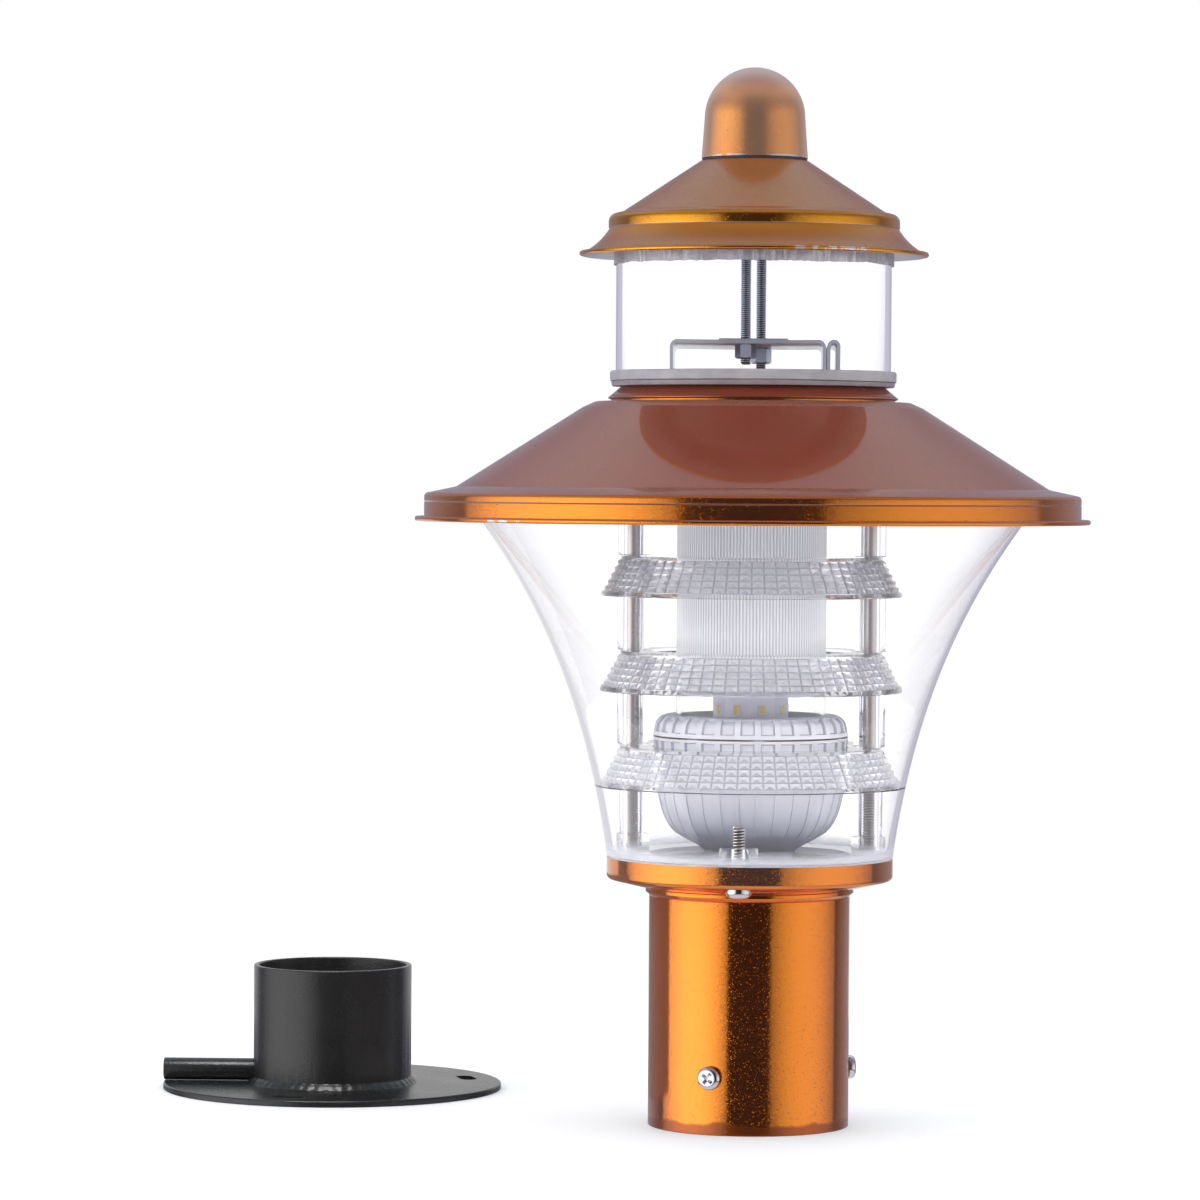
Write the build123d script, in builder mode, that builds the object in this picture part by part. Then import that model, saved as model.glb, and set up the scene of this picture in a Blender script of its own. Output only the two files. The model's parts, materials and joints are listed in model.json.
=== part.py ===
"""Pillar light on a pole tube, with the mounting base that the tube drops over.

Millimetres. The lamp stands on the axis Z with the foot of its tube at the origin, and its front faces -Y.
Each piece is a solid of its own. Radii and levels are worked out upwards from the tube.
"""
import os
from math import cos, radians, sin, sqrt

from build123d import *

# Sheet, fits and gaps
sheet = 1.0  # thickness of the spun metal pieces
thread_slack = 0.05  # radial, a screw in its nut or threaded boss
hole_slack = 0.3  # radial, a screw, rod or pipe in a clear hole
lift_gap = 0.2  # between the seats of two pieces that come apart

# Shares of a screw head
recess_share = 0.55  # length and depth of the cross recess
recess_slot = 0.14  # width of its arms
head_round = 0.6  # rounding of the head

# Pole tube
tube_od = 76.0
tube_wall = 1.2
tube_height = 90.1
lip_reach = 1.4  # flare of the tube's top edge
lip_height = 1.5

# Clamp screws near the foot of the tube
clamp_count = 3
clamp_level = 21.5
clamp_angle = -21.0  # first screw, from the front towards +X
clamp_thread = 5.0
clamp_head = 9.0
clamp_head_height = 2.8
clamp_bite = 1.5  # how far a screw reaches past the spigot's wall when it is fully in
clamp_nut_flats = 8.0
clamp_nut_height = 4.0

# Flange pan on the tube
body_radius = 54.2  # flange, foot of the bowl and lantern gasket
flange_depth = 9.1
flange_rise = 3.5  # of the conical floor
flange_bend = 1.8
flange_ledge = 5.8  # floor that reaches in past the tube's wall

# Flange screws
flange_screw_angle = -5.0  # from the front towards +X
flange_screw_thread = 5.0
flange_screw_head = 9.8
flange_screw_head_height = 4.0
flange_screw_length = 23.0
screw_seat_margin = 0.6
screw_seat_rise = 0.4  # least depth of a pressed seat

# Lamp holder and its strap
strap_thickness = 1.5
strap_width = 24.0
strap_end_gap = 0.3
strap_screw_thread = 3.0
strap_screw_head = 5.6
strap_screw_head_height = 2.0
strap_screw_length = 6.0
bulb_cap_od = 26.2  # screw cap of the bulb
holder_shell_wall = 0.5
holder_wall = 2.4
holder_shoulder = 3.1
holder_neck_height = 6.7  # above the strap's underside
holder_depth = 33.0  # below the strap's underside
holder_floor = 6.0
holder_ring_wall = 4.4
holder_ring_height = 3.5
contact_od = 6.0
contact_round = 1.0

# Bowl
bowl_gasket = 0.6
bowl_gasket_width = 3.6
bowl_height = 138.0
bowl_wall = 1.4
bowl_floor = 2.5
bowl_low_pull = 6.3  # how far the flare has moved out a third of the way up its control line
bowl_high_pull = 18.7  # and at two thirds
bowl_rim_width = 8.0
bowl_rim_height = 1.6
rod_boss_od = 13.0
rod_boss_height = 9.5
screw_boss_od = 14.2
screw_boss_height = 8.3

# Tie rods, spacers and louvre rings
rod_od = 5.0
rod_angle = -5.0  # right-hand rod, from +X
rod_nut_flats = 8.0
rod_nut_height = 4.0
rod_tail = 0.8
nut_to_glass = 0.6
spacer_od = 12.0
lower_spacer_od = 10.4
lower_spacer = 32.2
ring_count = 3
ring_pitch = 36.0
ring_height = 15.1
ring_taper = 7.6
ring_flange = 2.0
ring_wall = 2.2
louvre_gap = 0.4  # lowest ring to the bowl
spacer_margin = 1.0  # ring material inside a spacer
bulb_way = 1.1  # bulb to the ring openings that it passes

# Main roof
brim_radius = 124.1
brim_flat = 12.1  # brim edge back to the foot of the cone
brim_fall = 2.6
brim_bend = 2.0
brim_band = 8.6  # straight drop below the brim's edge
brim_lip_reach = 3.5
brim_lip_height = 1.9
brim_lip_round = 0.85
rim_gap = 6.8  # bowl's rim to the brim's band
seal_width = 5.0
seal_thickness = 1.3
roof_rise = 38.2  # foot of the cone to the platform
neck_inset = 4.4
collar_drop = 3.8
collar_inset = 0.3
shoulder_drop = 5.7
shoulder_reach = 5.2
shoulder_fall = 2.2
shoulder_run = 4.9
shoulder_bend = 4.0

# Lantern glass and gaskets
gasket_lip = 2.2  # lower gasket outside the glass
gasket_floor = 1.0
gasket_foot = 3.0  # floor that reaches in past the glass
gasket_height = 5.9
glass_wall = 2.4
glass_height = 59.3
glass_slack = 0.1
upper_gasket_wall = 0.8
upper_gasket_web = 0.8
upper_gasket_height = 15.5

# Bridge bracket
bracket_strip = 1.3
bracket_height = 18.9
bracket_left_foot = 9.0
bracket_right_foot = 7.8
bracket_bend = 2.2
bracket_pad = 26.0
bracket_pad_height = 0.5
bracket_edge = 0.9  # strip beyond the nuts
hook_width = 3.7  # between the middles of its legs
hairpin_gap = 0.3
foot_gap = 0.7
rivet_od = 3.2
rivet_head = 5.4
rivet_head_height = 1.0
rivet_edge = 0.2
nearly_half = 0.49  # a round turn of two equal bends

# Top cap
cap_rise = 23.8
cap_bead_height = 2.3
cap_bead_bend = 0.9
cap_crown_bend = 1.5
cap_flare_drop = 9.2
cap_overhang = 10.9
cap_flare_sag = 1.0
cap_roll = 0.9
cap_screw_x = 2.9
cap_screw_y = 9.6
cap_screw_thread = 4.0
cap_screw_head = 8.0
cap_screw_head_height = 2.6
cap_nut_flats = 7.0
cap_nut_height = 4.7
cap_screw_tail = 2.0

# Finial
finial_od = 38.0
finial_flare = 1.1
finial_skirt = 15.2
finial_wall = 1.0
finial_gasket = 0.8
finial_gasket_width = 3.6
finial_gasket_inset = 0.2

# LED bulb
bulb_neck_wall = 4.3
bulb_neck_taper = 1.9
bulb_neck_height = 6.2
bulb_wire_r = 8.0
bulb_bowl_height = 37.0
bulb_side_pull = 1.8
bulb_side_drop = 34.5
bulb_belly_reach = 9.6
bulb_belly_lift = 7.0
bulb_shoulder = 0.5
bulb_band_height = 6.2
bulb_shell = 1.6
bulb_ledge = 2.0
notch_count = 30
notch_width = 2.2
notch_depth = 1.2
notch_margin = 0.8
collar_height = 8.2
collar_side = 5.2
collar_top_inset = 5.9
collar_draft = 1.1
collar_floor = 2.5
collar_hole = 16.0
diffuser_inset = 8.6
diffuser_wall = 1.5
diffuser_bend = 6.0
bulb_headroom = 26.7
core_od = 28.8
core_wall = 1.6
core_sides = 9
core_angle = -22.0
core_headroom = 6.0
chip_rows = 9
chip_width = 2.9
chip_height = 3.6
chip_thickness = 0.7
chip_margin = 8.0
driver_board = 1.6
driver_part_height = 11.0
driver_part_width = 16.0
driver_can_od = 10.6
cap_insert = 4.0
bulb_cap_length = 27.0
bulb_cap_wall = 0.5
bulb_tip_od = 9.0
bulb_tip_stem = 6.0
bulb_tip_height = 2.5
bulb_tip_round = 1.2

# Mounting base, which stands by itself
base_x = -166.5
base_y = 105.0
base_plate_od = 135.0
base_plate_thickness = 2.5
base_edge = 0.4
spigot_play = 5.3  # radial, spigot inside the pole tube
spigot_wall = 2.0
spigot_height = 47.0
weld_leg = 2.4
weld_hollow = 1.6  # radius of the weld's face over its leg
pipe_od = 8.8
pipe_bore = 6.4
pipe_lift = 0.1
pipe_inside = 0.5
slot_count = 3
slot_length = 14.5
slot_width = 6.5
slot_edge = 12.2
slot_angle = 17.0

# Radii that follow
tube_r = tube_od / 2
tube_bore_r = tube_r - tube_wall
lip_r = tube_r + lip_reach
flange_bore_r = body_radius - sheet
flange_hole_r = tube_bore_r - flange_ledge
flange_screw_r = (lip_r + flange_bore_r) / 2
seat_r = flange_screw_head / 2 + screw_seat_margin
spigot_r = tube_bore_r - spigot_play
glass_r = body_radius - gasket_lip
glass_bore_r = glass_r - glass_wall
rod_r = glass_bore_r - nut_to_glass - rod_nut_flats / 2
ring_hole_r = rod_r - spacer_od / 2 - spacer_margin
bulb_r = ring_hole_r - bulb_way
spacer_bore_r = rod_od / 2 + hole_slack
bowl_rim_r = brim_radius - sheet - rim_gap
bowl_mouth_r = bowl_rim_r - bowl_rim_width
cone_foot_r = brim_radius - brim_flat
neck_r = body_radius - neck_inset
rod_nut_corner = rod_nut_flats / sqrt(3)
foot_x = rod_r - rod_nut_corner - foot_gap
bracket_width = 2 * (cap_screw_y + cap_nut_flats / 2 + bracket_edge)
finial_r = finial_od / 2
finial_foot_r = finial_r + finial_flare
cap_bead_r = body_radius

# Levels that follow, from the foot of the tube upwards
flange_z = tube_height
flange_rim_z = flange_z + flange_depth
strap_z = flange_z + sheet
holder_z = strap_z - holder_depth
holder_top_z = strap_z + holder_neck_height
bowl_z = flange_rim_z + bowl_gasket + lift_gap
bowl_top_z = bowl_z + bowl_height
rod_boss_z = bowl_z + rod_boss_height
ring_tops = [rod_boss_z + lower_spacer + ring_flange + ring_pitch * k for k in range(ring_count)]
brim_slope = brim_fall / brim_flat
flat_sheet = sheet * sqrt(1 + brim_slope**2)
cone_foot_z = bowl_top_z + seal_thickness + flat_sheet + brim_slope * (bowl_rim_r - cone_foot_r)
platform_z = cone_foot_z + roof_rise
platform_under_z = platform_z - sheet
glass_z = platform_z + gasket_floor
glass_top_z = glass_z + glass_height
cap_slope = cap_rise / (cap_bead_r - finial_foot_r)
upper_gasket_r = glass_r + glass_slack + upper_gasket_wall
upper_gasket_top_z = glass_top_z + upper_gasket_web
cap_bead_z = (
    upper_gasket_top_z
    + lift_gap
    + sheet * sqrt(1 + cap_slope**2)
    - cap_slope * (cap_bead_r - upper_gasket_r)
)
cap_top_z = cap_bead_z + cap_rise
finial_z = cap_top_z + finial_gasket + lift_gap
bracket_top_z = platform_z + bracket_height
cap_nut_z = bracket_top_z - bracket_strip - cap_nut_height
bulb_z = holder_top_z + lift_gap
bulb_neck_z = bulb_z + bulb_neck_height
bulb_band_z = bulb_neck_z + bulb_bowl_height
bulb_split_z = bulb_band_z + bulb_band_height
collar_floor_z = bulb_split_z + collar_floor
collar_top_z = bulb_split_z + collar_height
diffuser_top_z = platform_under_z - bulb_headroom
bulb_cap_z = bulb_z + cap_insert - bulb_cap_length
flange_slope = flange_rise / (body_radius - lip_r)
seat_z = flange_z + flange_slope * (flange_screw_r + seat_r - lip_r) + screw_seat_rise

# Places in plan
rod_places = [
    (side * rod_r * cos(radians(rod_angle)), side * rod_r * sin(radians(rod_angle))) for side in (-1, 1)
]
flange_screw_x = flange_screw_r * sin(radians(flange_screw_angle))
flange_screw_y = -flange_screw_r * cos(radians(flange_screw_angle))
flange_screw_places = [(flange_screw_x, flange_screw_y), (-flange_screw_x, -flange_screw_y)]
rivet_places = [(side * (foot_x - rivet_head / 2 - rivet_edge), 0) for side in (-1, 1)]
cap_screw_places = [(-cap_screw_x, -cap_screw_y), (cap_screw_x, cap_screw_y)]
clamp_turns = [clamp_angle + 360 / clamp_count * k for k in range(clamp_count)]


def pan_screw(thread, head, head_height, length):
    """Cross-recess pan head screw along Z, with its seat at the origin and its head above it."""
    recess = head * recess_share
    recess_width = head * recess_slot
    with BuildPart() as screw:
        with BuildSketch():
            Circle(head / 2)
        extrude(amount=head_height)
        fillet(screw.edges().group_by(Axis.Z)[-1], radius=head_height * head_round)
        with BuildSketch(Plane.XY.offset(head_height)):
            Rectangle(recess, recess_width)
            Rectangle(recess_width, recess)
        extrude(amount=-head_height * recess_share, mode=Mode.SUBTRACT)
        with BuildSketch():
            Circle(thread / 2)
        extrude(amount=-length)
    return screw.part


def hex_nut(flats, thread, height):
    """Hexagon nut along Z that stands on the origin, with two flats square to X."""
    with BuildPart() as nut:
        with BuildSketch():
            RegularPolygon(flats / 2, 6, major_radius=False, rotation=30)
            Circle(thread / 2 + thread_slack, mode=Mode.SUBTRACT)
        extrude(amount=height)
    return nut.part


def bowl_radius(level):
    """Outer radius of the bowl's flare at a level: a cubic between its foot and its mouth."""
    t = (level - bowl_z) / (bowl_height - bowl_rim_height)
    low = body_radius + bowl_low_pull
    high = body_radius + bowl_high_pull
    return (
        body_radius * (1 - t) ** 3
        + 3 * low * t * (1 - t) ** 2
        + 3 * high * t**2 * (1 - t)
        + bowl_mouth_r * t**3
    )


def clamp_plane(turn, distance):
    """Plane that faces outwards at a clamp screw, at a distance from the tube's axis."""
    way = Vector(sin(radians(turn)), -cos(radians(turn)), 0)
    return Plane(way * distance + Vector(0, 0, clamp_level), x_dir=(0, 0, 1), z_dir=way)


# Pole tube with its flared top edge
lip_foot_z = tube_height - lip_height - lip_reach
with BuildPart() as pole_tube:
    with BuildSketch(Plane.XZ):
        with BuildLine():
            Polyline(
                (tube_bore_r, 0),
                (tube_r, 0),
                (tube_r, lip_foot_z),
                (lip_r, tube_height - lip_height),
                (lip_r, tube_height),
                (tube_bore_r, tube_height),
                close=True,
            )
        make_face()
    revolve(axis=Axis.Z)
    for turn in clamp_turns:
        with Locations(clamp_plane(turn, 0)):
            Cylinder(
                clamp_thread / 2 + hole_slack,
                tube_od,
                align=(Align.CENTER, Align.CENTER, Align.MIN),
                mode=Mode.SUBTRACT,
            )

# Nuts inside the tube, each with its face at the level where its corners meet the curved wall
clamp_nut_corner = clamp_nut_flats / sqrt(3)
clamp_nut_face = sqrt(tube_bore_r**2 - clamp_nut_corner**2) - lift_gap
with BuildPart() as clamp_nuts:
    for turn in clamp_turns:
        with Locations(clamp_plane(turn, clamp_nut_face - clamp_nut_height)):
            add(hex_nut(clamp_nut_flats, clamp_thread, clamp_nut_height))

clamp_reach = tube_wall + spigot_play + clamp_bite
clamp_screws = {}
for number, turn in enumerate(clamp_turns, start=1):
    with BuildPart() as clamp_screw:
        with Locations(clamp_plane(turn, tube_r + lift_gap)):
            add(pan_screw(clamp_thread, clamp_head, clamp_head_height, clamp_reach + lift_gap))
    clamp_screws[f"clamp_screw_{number}"] = clamp_screw

# Flange pan: a conical floor with a flat ledge, an upright rim and a pressed-up flat for each screw head
with BuildPart() as pan_hollow:
    with BuildSketch(Plane.XZ):
        with BuildLine():
            FilletPolyline(
                (0, flange_z + sheet),
                (lip_r, flange_z + sheet),
                (flange_bore_r, flange_z + sheet + flange_slope * (flange_bore_r - lip_r)),
                (flange_bore_r, flange_rim_z),
                (0, flange_rim_z),
                radius=[0, flange_bend - sheet, 0],
            )
            Line((0, flange_rim_z), (0, flange_z + sheet))
        make_face()
    revolve(axis=Axis.Z)
    with Locations(*[(x, y, flange_z) for x, y in flange_screw_places]):
        Cylinder(
            seat_r + sheet,
            seat_z + sheet - flange_z,
            align=(Align.CENTER, Align.CENTER, Align.MIN),
            mode=Mode.SUBTRACT,
        )

with BuildPart() as pole_flange:
    with BuildSketch(Plane.XZ):
        with BuildLine():
            FilletPolyline(
                (0, flange_z),
                (lip_r, flange_z),
                (body_radius, flange_z + flange_rise),
                (body_radius, flange_rim_z),
                (0, flange_rim_z),
                radius=[0, flange_bend, 0],
            )
            Line((0, flange_rim_z), (0, flange_z))
        make_face()
    revolve(axis=Axis.Z)
    add(pan_hollow.part, mode=Mode.SUBTRACT)
    with Locations(*[(x, y, flange_z) for x, y in flange_screw_places]):
        Cylinder(seat_r, seat_z - flange_z, align=(Align.CENTER, Align.CENTER, Align.MIN), mode=Mode.SUBTRACT)
        Cylinder(flange_screw_thread / 2 + hole_slack, flange_depth * 2, mode=Mode.SUBTRACT)
    with BuildSketch(Plane.XY.offset(flange_z)):
        Circle(flange_hole_r)
        strap_screw_x = flange_hole_r + (flange_ledge - strap_end_gap) / 2
        with Locations((strap_screw_x, 0), (-strap_screw_x, 0)):
            Circle(strap_screw_thread / 2 + thread_slack)
    extrude(amount=sheet, mode=Mode.SUBTRACT)

# Flange screws, driven upwards into the bowl's bosses
flange_screws = {}
for name, (x, y) in zip(("flange_screw_front", "flange_screw_back"), flange_screw_places):
    with BuildPart() as flange_screw:
        with Locations(Plane((x, y, seat_z - lift_gap), x_dir=(1, 0, 0), z_dir=(0, 0, -1))):
            add(
                pan_screw(
                    flange_screw_thread,
                    flange_screw_head,
                    flange_screw_head_height,
                    flange_screw_length,
                )
            )
    flange_screws[name] = flange_screw

# Lamp holder on its strap, inside the top of the tube
shell_bore_r = bulb_cap_od / 2 + hole_slack
shell_r = shell_bore_r + holder_shell_wall
holder_bore_r = shell_r + thread_slack
holder_neck_r = holder_bore_r + holder_wall
holder_r = holder_neck_r + holder_shoulder
with BuildPart() as holder_strap:
    with BuildSketch(Plane.XY.offset(strap_z)):
        Rectangle(2 * (flange_hole_r + flange_ledge - strap_end_gap), strap_width)
        Circle(holder_r + strap_end_gap)
        Circle(holder_neck_r + thread_slack, mode=Mode.SUBTRACT)
        with Locations((strap_screw_x, 0), (-strap_screw_x, 0)):
            Circle(strap_screw_thread / 2 + thread_slack, mode=Mode.SUBTRACT)
    extrude(amount=strap_thickness)

with BuildPart() as strap_screws:
    with Locations(*[(side * strap_screw_x, 0, strap_z + strap_thickness) for side in (-1, 1)]):
        add(pan_screw(strap_screw_thread, strap_screw_head, strap_screw_head_height, strap_screw_length))

with BuildPart() as lamp_holder:
    with BuildSketch(Plane.XZ):
        with BuildLine():
            Polyline(
                (0, holder_z),
                (holder_r, holder_z),
                (holder_r, strap_z),
                (holder_neck_r, strap_z),
                (holder_neck_r, holder_top_z),
                (holder_bore_r, holder_top_z),
                (holder_bore_r, holder_z + holder_floor),
                (0, holder_z + holder_floor),
                close=True,
            )
        make_face()
    revolve(axis=Axis.Z)
    fillet(lamp_holder.edges().group_by(Axis.Z)[0], radius=holder_wall)

with BuildPart() as holder_ring:
    with BuildSketch(Plane.XY.offset(strap_z + strap_thickness)):
        RegularPolygon(holder_neck_r + holder_ring_wall, 12)
        Circle(holder_neck_r + thread_slack, mode=Mode.SUBTRACT)
    extrude(amount=holder_ring_height)

with BuildPart() as holder_shell:
    with BuildSketch(Plane.XY.offset(holder_z + holder_floor)):
        Circle(shell_r)
        Circle(shell_bore_r, mode=Mode.SUBTRACT)
    extrude(amount=holder_top_z - holder_z - holder_floor - holder_shell_wall)

with BuildPart() as holder_contact:
    with BuildSketch(Plane.XY.offset(holder_z + holder_floor)):
        Circle(contact_od / 2)
    extrude(amount=bulb_cap_z - bulb_tip_height - lift_gap - holder_z - holder_floor)
    fillet(holder_contact.edges().group_by(Axis.Z)[-1], radius=contact_round)

# Bowl seat gasket on the flange's rim
with BuildPart() as bowl_seat_gasket:
    with BuildSketch(Plane.XY.offset(flange_rim_z)):
        Circle(body_radius)
        Circle(body_radius - bowl_gasket_width, mode=Mode.SUBTRACT)
    extrude(amount=bowl_gasket)

# Bowl: a flared wall from its floor to a flat rim under the brim, with rod and screw bosses on the floor
flare_height = bowl_height - bowl_rim_height
bowl_rim_under_z = bowl_z + flare_height
with BuildPart() as bowl:
    with BuildSketch(Plane.XZ):
        with BuildLine():
            Bezier(
                (body_radius, bowl_z),
                (body_radius + bowl_low_pull, bowl_z + flare_height / 3),
                (body_radius + bowl_high_pull, bowl_z + flare_height * 2 / 3),
                (bowl_mouth_r, bowl_rim_under_z),
            )
            Polyline(
                (bowl_mouth_r, bowl_rim_under_z),
                (bowl_rim_r, bowl_rim_under_z),
                (bowl_rim_r, bowl_top_z),
                (bowl_mouth_r - bowl_wall, bowl_top_z),
                (bowl_mouth_r - bowl_wall, bowl_rim_under_z),
            )
            Bezier(
                (bowl_mouth_r - bowl_wall, bowl_rim_under_z),
                (body_radius + bowl_high_pull - bowl_wall, bowl_z + flare_height * 2 / 3),
                (body_radius + bowl_low_pull - bowl_wall, bowl_z + flare_height / 3),
                (body_radius - bowl_wall, bowl_z + bowl_floor),
            )
            Polyline(
                (body_radius - bowl_wall, bowl_z + bowl_floor),
                (ring_hole_r, bowl_z + bowl_floor),
                (ring_hole_r, bowl_z),
                (body_radius, bowl_z),
            )
        make_face()
    revolve(axis=Axis.Z)
    with BuildSketch(Plane.XY.offset(bowl_z)):
        with Locations(*rod_places):
            Circle(rod_boss_od / 2)
    extrude(amount=rod_boss_height)
    with BuildSketch(Plane.XY.offset(bowl_z)):
        with Locations(*flange_screw_places):
            Circle(screw_boss_od / 2)
    extrude(amount=screw_boss_height)
    with BuildSketch(Plane.XY.offset(bowl_z)):
        with Locations(*rod_places):
            Circle(spacer_bore_r)
        with Locations(*flange_screw_places):
            Circle(flange_screw_thread / 2 + thread_slack)
        Circle(ring_hole_r)
    extrude(amount=max(rod_boss_height, screw_boss_height), mode=Mode.SUBTRACT)

# Louvre rings: a flange that the rods pass through and a conical skirt, hollowed for the spacers under it
ring_foot_r = bowl_radius(ring_tops[0] - ring_height) - bowl_wall - louvre_gap
ring_top_r = ring_foot_r - ring_taper
louvre_rings = {}
for number, top in enumerate(reversed(ring_tops), start=1):
    with BuildPart() as louvre_ring:
        with BuildSketch(Plane.XZ):
            with BuildLine():
                Polyline(
                    (ring_hole_r, top),
                    (ring_top_r, top),
                    (ring_foot_r, top - ring_height),
                    (ring_foot_r - ring_wall, top - ring_height),
                    (ring_top_r - ring_wall, top - ring_flange),
                    (ring_hole_r, top - ring_flange),
                    close=True,
                )
            make_face()
        revolve(axis=Axis.Z)
        with BuildSketch(Plane.XY.offset(top)):
            with Locations(*rod_places):
                Circle(spacer_bore_r)
        extrude(amount=-ring_flange, mode=Mode.SUBTRACT)
        with BuildSketch(Plane.XY.offset(top - ring_flange)):
            with Locations(*rod_places):
                Circle(spacer_od / 2 + hole_slack)
        extrude(amount=ring_flange - ring_height, mode=Mode.SUBTRACT)
    louvre_rings[f"louvre_ring_{number}"] = louvre_ring

# Spacer tubes on the rods, from the bosses up to the roof's platform, where they are bevelled for its neck
spacer_feet = [rod_boss_z] + ring_tops
spacer_heads = [top - ring_flange for top in ring_tops] + [platform_under_z]
spacers = {}
for level, (foot, head) in enumerate(zip(spacer_feet, spacer_heads), start=1):
    for side, (x, y) in zip(("left", "right"), rod_places):
        with BuildPart() as spacer:
            with BuildSketch(Plane.XY.offset(foot)):
                with Locations((x, y)):
                    Circle((lower_spacer_od if level == 1 else spacer_od) / 2)
                    Circle(spacer_bore_r, mode=Mode.SUBTRACT)
            extrude(amount=head - foot)
            if head == platform_under_z:
                chamfer(
                    spacer.edges().group_by(Axis.Z)[-1].sort_by(SortBy.RADIUS)[-1],
                    length=rod_r + spacer_od / 2 - (neck_r - sheet),
                )
        spacers[f"spacer_{level}_{side}"] = spacer

# Tie rods and their nuts above the platform and under the bowl
rod_foot_z = bowl_z - rod_nut_height - rod_tail
rod_head_z = platform_z + rod_nut_height + rod_tail
tie_rods = {}
for side, (x, y) in zip(("left", "right"), rod_places):
    with BuildPart() as tie_rod:
        with BuildSketch(Plane.XY.offset(rod_foot_z)):
            with Locations((x, y)):
                Circle(rod_od / 2)
        extrude(amount=rod_head_z - rod_foot_z)
        chamfer(tie_rod.faces().filter_by(GeomType.PLANE).edges(), length=rod_tail / 2)
    tie_rods[f"tie_rod_{side}"] = tie_rod

with BuildPart() as rod_top_nuts:
    with Locations(*[Location((x, y, platform_z), (0, 0, rod_angle)) for x, y in rod_places]):
        add(hex_nut(rod_nut_flats, rod_od, rod_nut_height))

with BuildPart() as rod_bottom_nuts:
    with Locations(*[Location((x, y, bowl_z - rod_nut_height), (0, 0, rod_angle)) for x, y in rod_places]):
        add(hex_nut(rod_nut_flats, rod_od, rod_nut_height))

# Seal between the bowl's rim and the underside of the brim, which slopes
seal_foot_r = bowl_rim_r - seal_width
with BuildPart() as bowl_rim_seal:
    with BuildSketch(Plane.XZ):
        with BuildLine():
            Polyline(
                (seal_foot_r, bowl_top_z),
                (bowl_rim_r, bowl_top_z),
                (bowl_rim_r, bowl_top_z + seal_thickness),
                (seal_foot_r, bowl_top_z + seal_thickness + brim_slope * seal_width),
                close=True,
            )
        make_face()
    revolve(axis=Axis.Z)

# Main roof: platform, neck, collar, shoulder, cone, brim and band in one sheet, with a thick lip
collar_r = body_radius - collar_inset
shoulder_r = body_radius + shoulder_reach
brim_z = cone_foot_z - brim_fall
lip_top_z = brim_z - brim_band
with BuildPart() as main_roof:
    with BuildSketch(Plane.XZ):
        with BuildLine():
            FilletPolyline(
                (0, platform_z),
                (neck_r, platform_z),
                (collar_r, platform_z - collar_drop),
                (collar_r, platform_z - shoulder_drop),
                (shoulder_r, platform_z - shoulder_drop),
                (shoulder_r + shoulder_run, platform_z - shoulder_drop - shoulder_fall),
                (cone_foot_r, cone_foot_z),
                (brim_radius, brim_z),
                (brim_radius, lip_top_z),
                radius=[0, 0, 0, shoulder_bend, shoulder_bend, brim_bend, brim_bend],
            )
            offset(amount=sheet, side=Side.RIGHT)
        make_face()
    revolve(axis=Axis.Z)
    with BuildSketch(Plane.XZ):
        with Locations((brim_radius - sheet, lip_top_z)):
            Rectangle(
                sheet + brim_lip_reach,
                brim_lip_height,
                align=(Align.MIN, Align.MAX),
            )
    revolve(axis=Axis.Z)
    fillet(
        main_roof.edges().filter_by(GeomType.CIRCLE).group_by(SortBy.RADIUS)[-1],
        radius=brim_lip_round,
    )
    with BuildSketch(Plane.XY.offset(platform_z)):
        with Locations(*rod_places):
            Circle(spacer_bore_r)
        with Locations(*rivet_places):
            Circle(rivet_od / 2 + thread_slack)
    extrude(amount=-sheet, mode=Mode.SUBTRACT)

# Lower gasket under the glass, notched for the nuts, and the glass cylinder in it
with BuildPart() as lower_gasket:
    with BuildSketch(Plane.XZ):
        with BuildLine():
            Polyline(
                (glass_bore_r - gasket_foot, platform_z),
                (body_radius, platform_z),
                (body_radius, platform_z + gasket_height),
                (glass_r + glass_slack, platform_z + gasket_height),
                (glass_r + glass_slack, glass_z),
                (glass_bore_r - gasket_foot, glass_z),
                close=True,
            )
        make_face()
    revolve(axis=Axis.Z)
    with BuildSketch(Plane.XY.offset(platform_z)):
        with Locations(*rod_places):
            Circle(rod_nut_corner + hole_slack)
    extrude(amount=gasket_floor, mode=Mode.SUBTRACT)

with BuildPart() as upper_glass:
    with BuildSketch(Plane.XY.offset(glass_z)):
        Circle(glass_r)
        Circle(glass_bore_r, mode=Mode.SUBTRACT)
    extrude(amount=glass_height)

# Upper gasket: a strip round the glass that is folded over its top edge
with BuildPart() as upper_gasket:
    with BuildSketch(Plane.XZ):
        with BuildLine():
            Polyline(
                (glass_bore_r, glass_top_z),
                (glass_r + glass_slack, glass_top_z),
                (glass_r + glass_slack, upper_gasket_top_z - upper_gasket_height),
                (upper_gasket_r, upper_gasket_top_z - upper_gasket_height),
                (upper_gasket_r, upper_gasket_top_z),
                (glass_bore_r, upper_gasket_top_z),
                close=True,
            )
        make_face()
    revolve(axis=Axis.Z)

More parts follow.
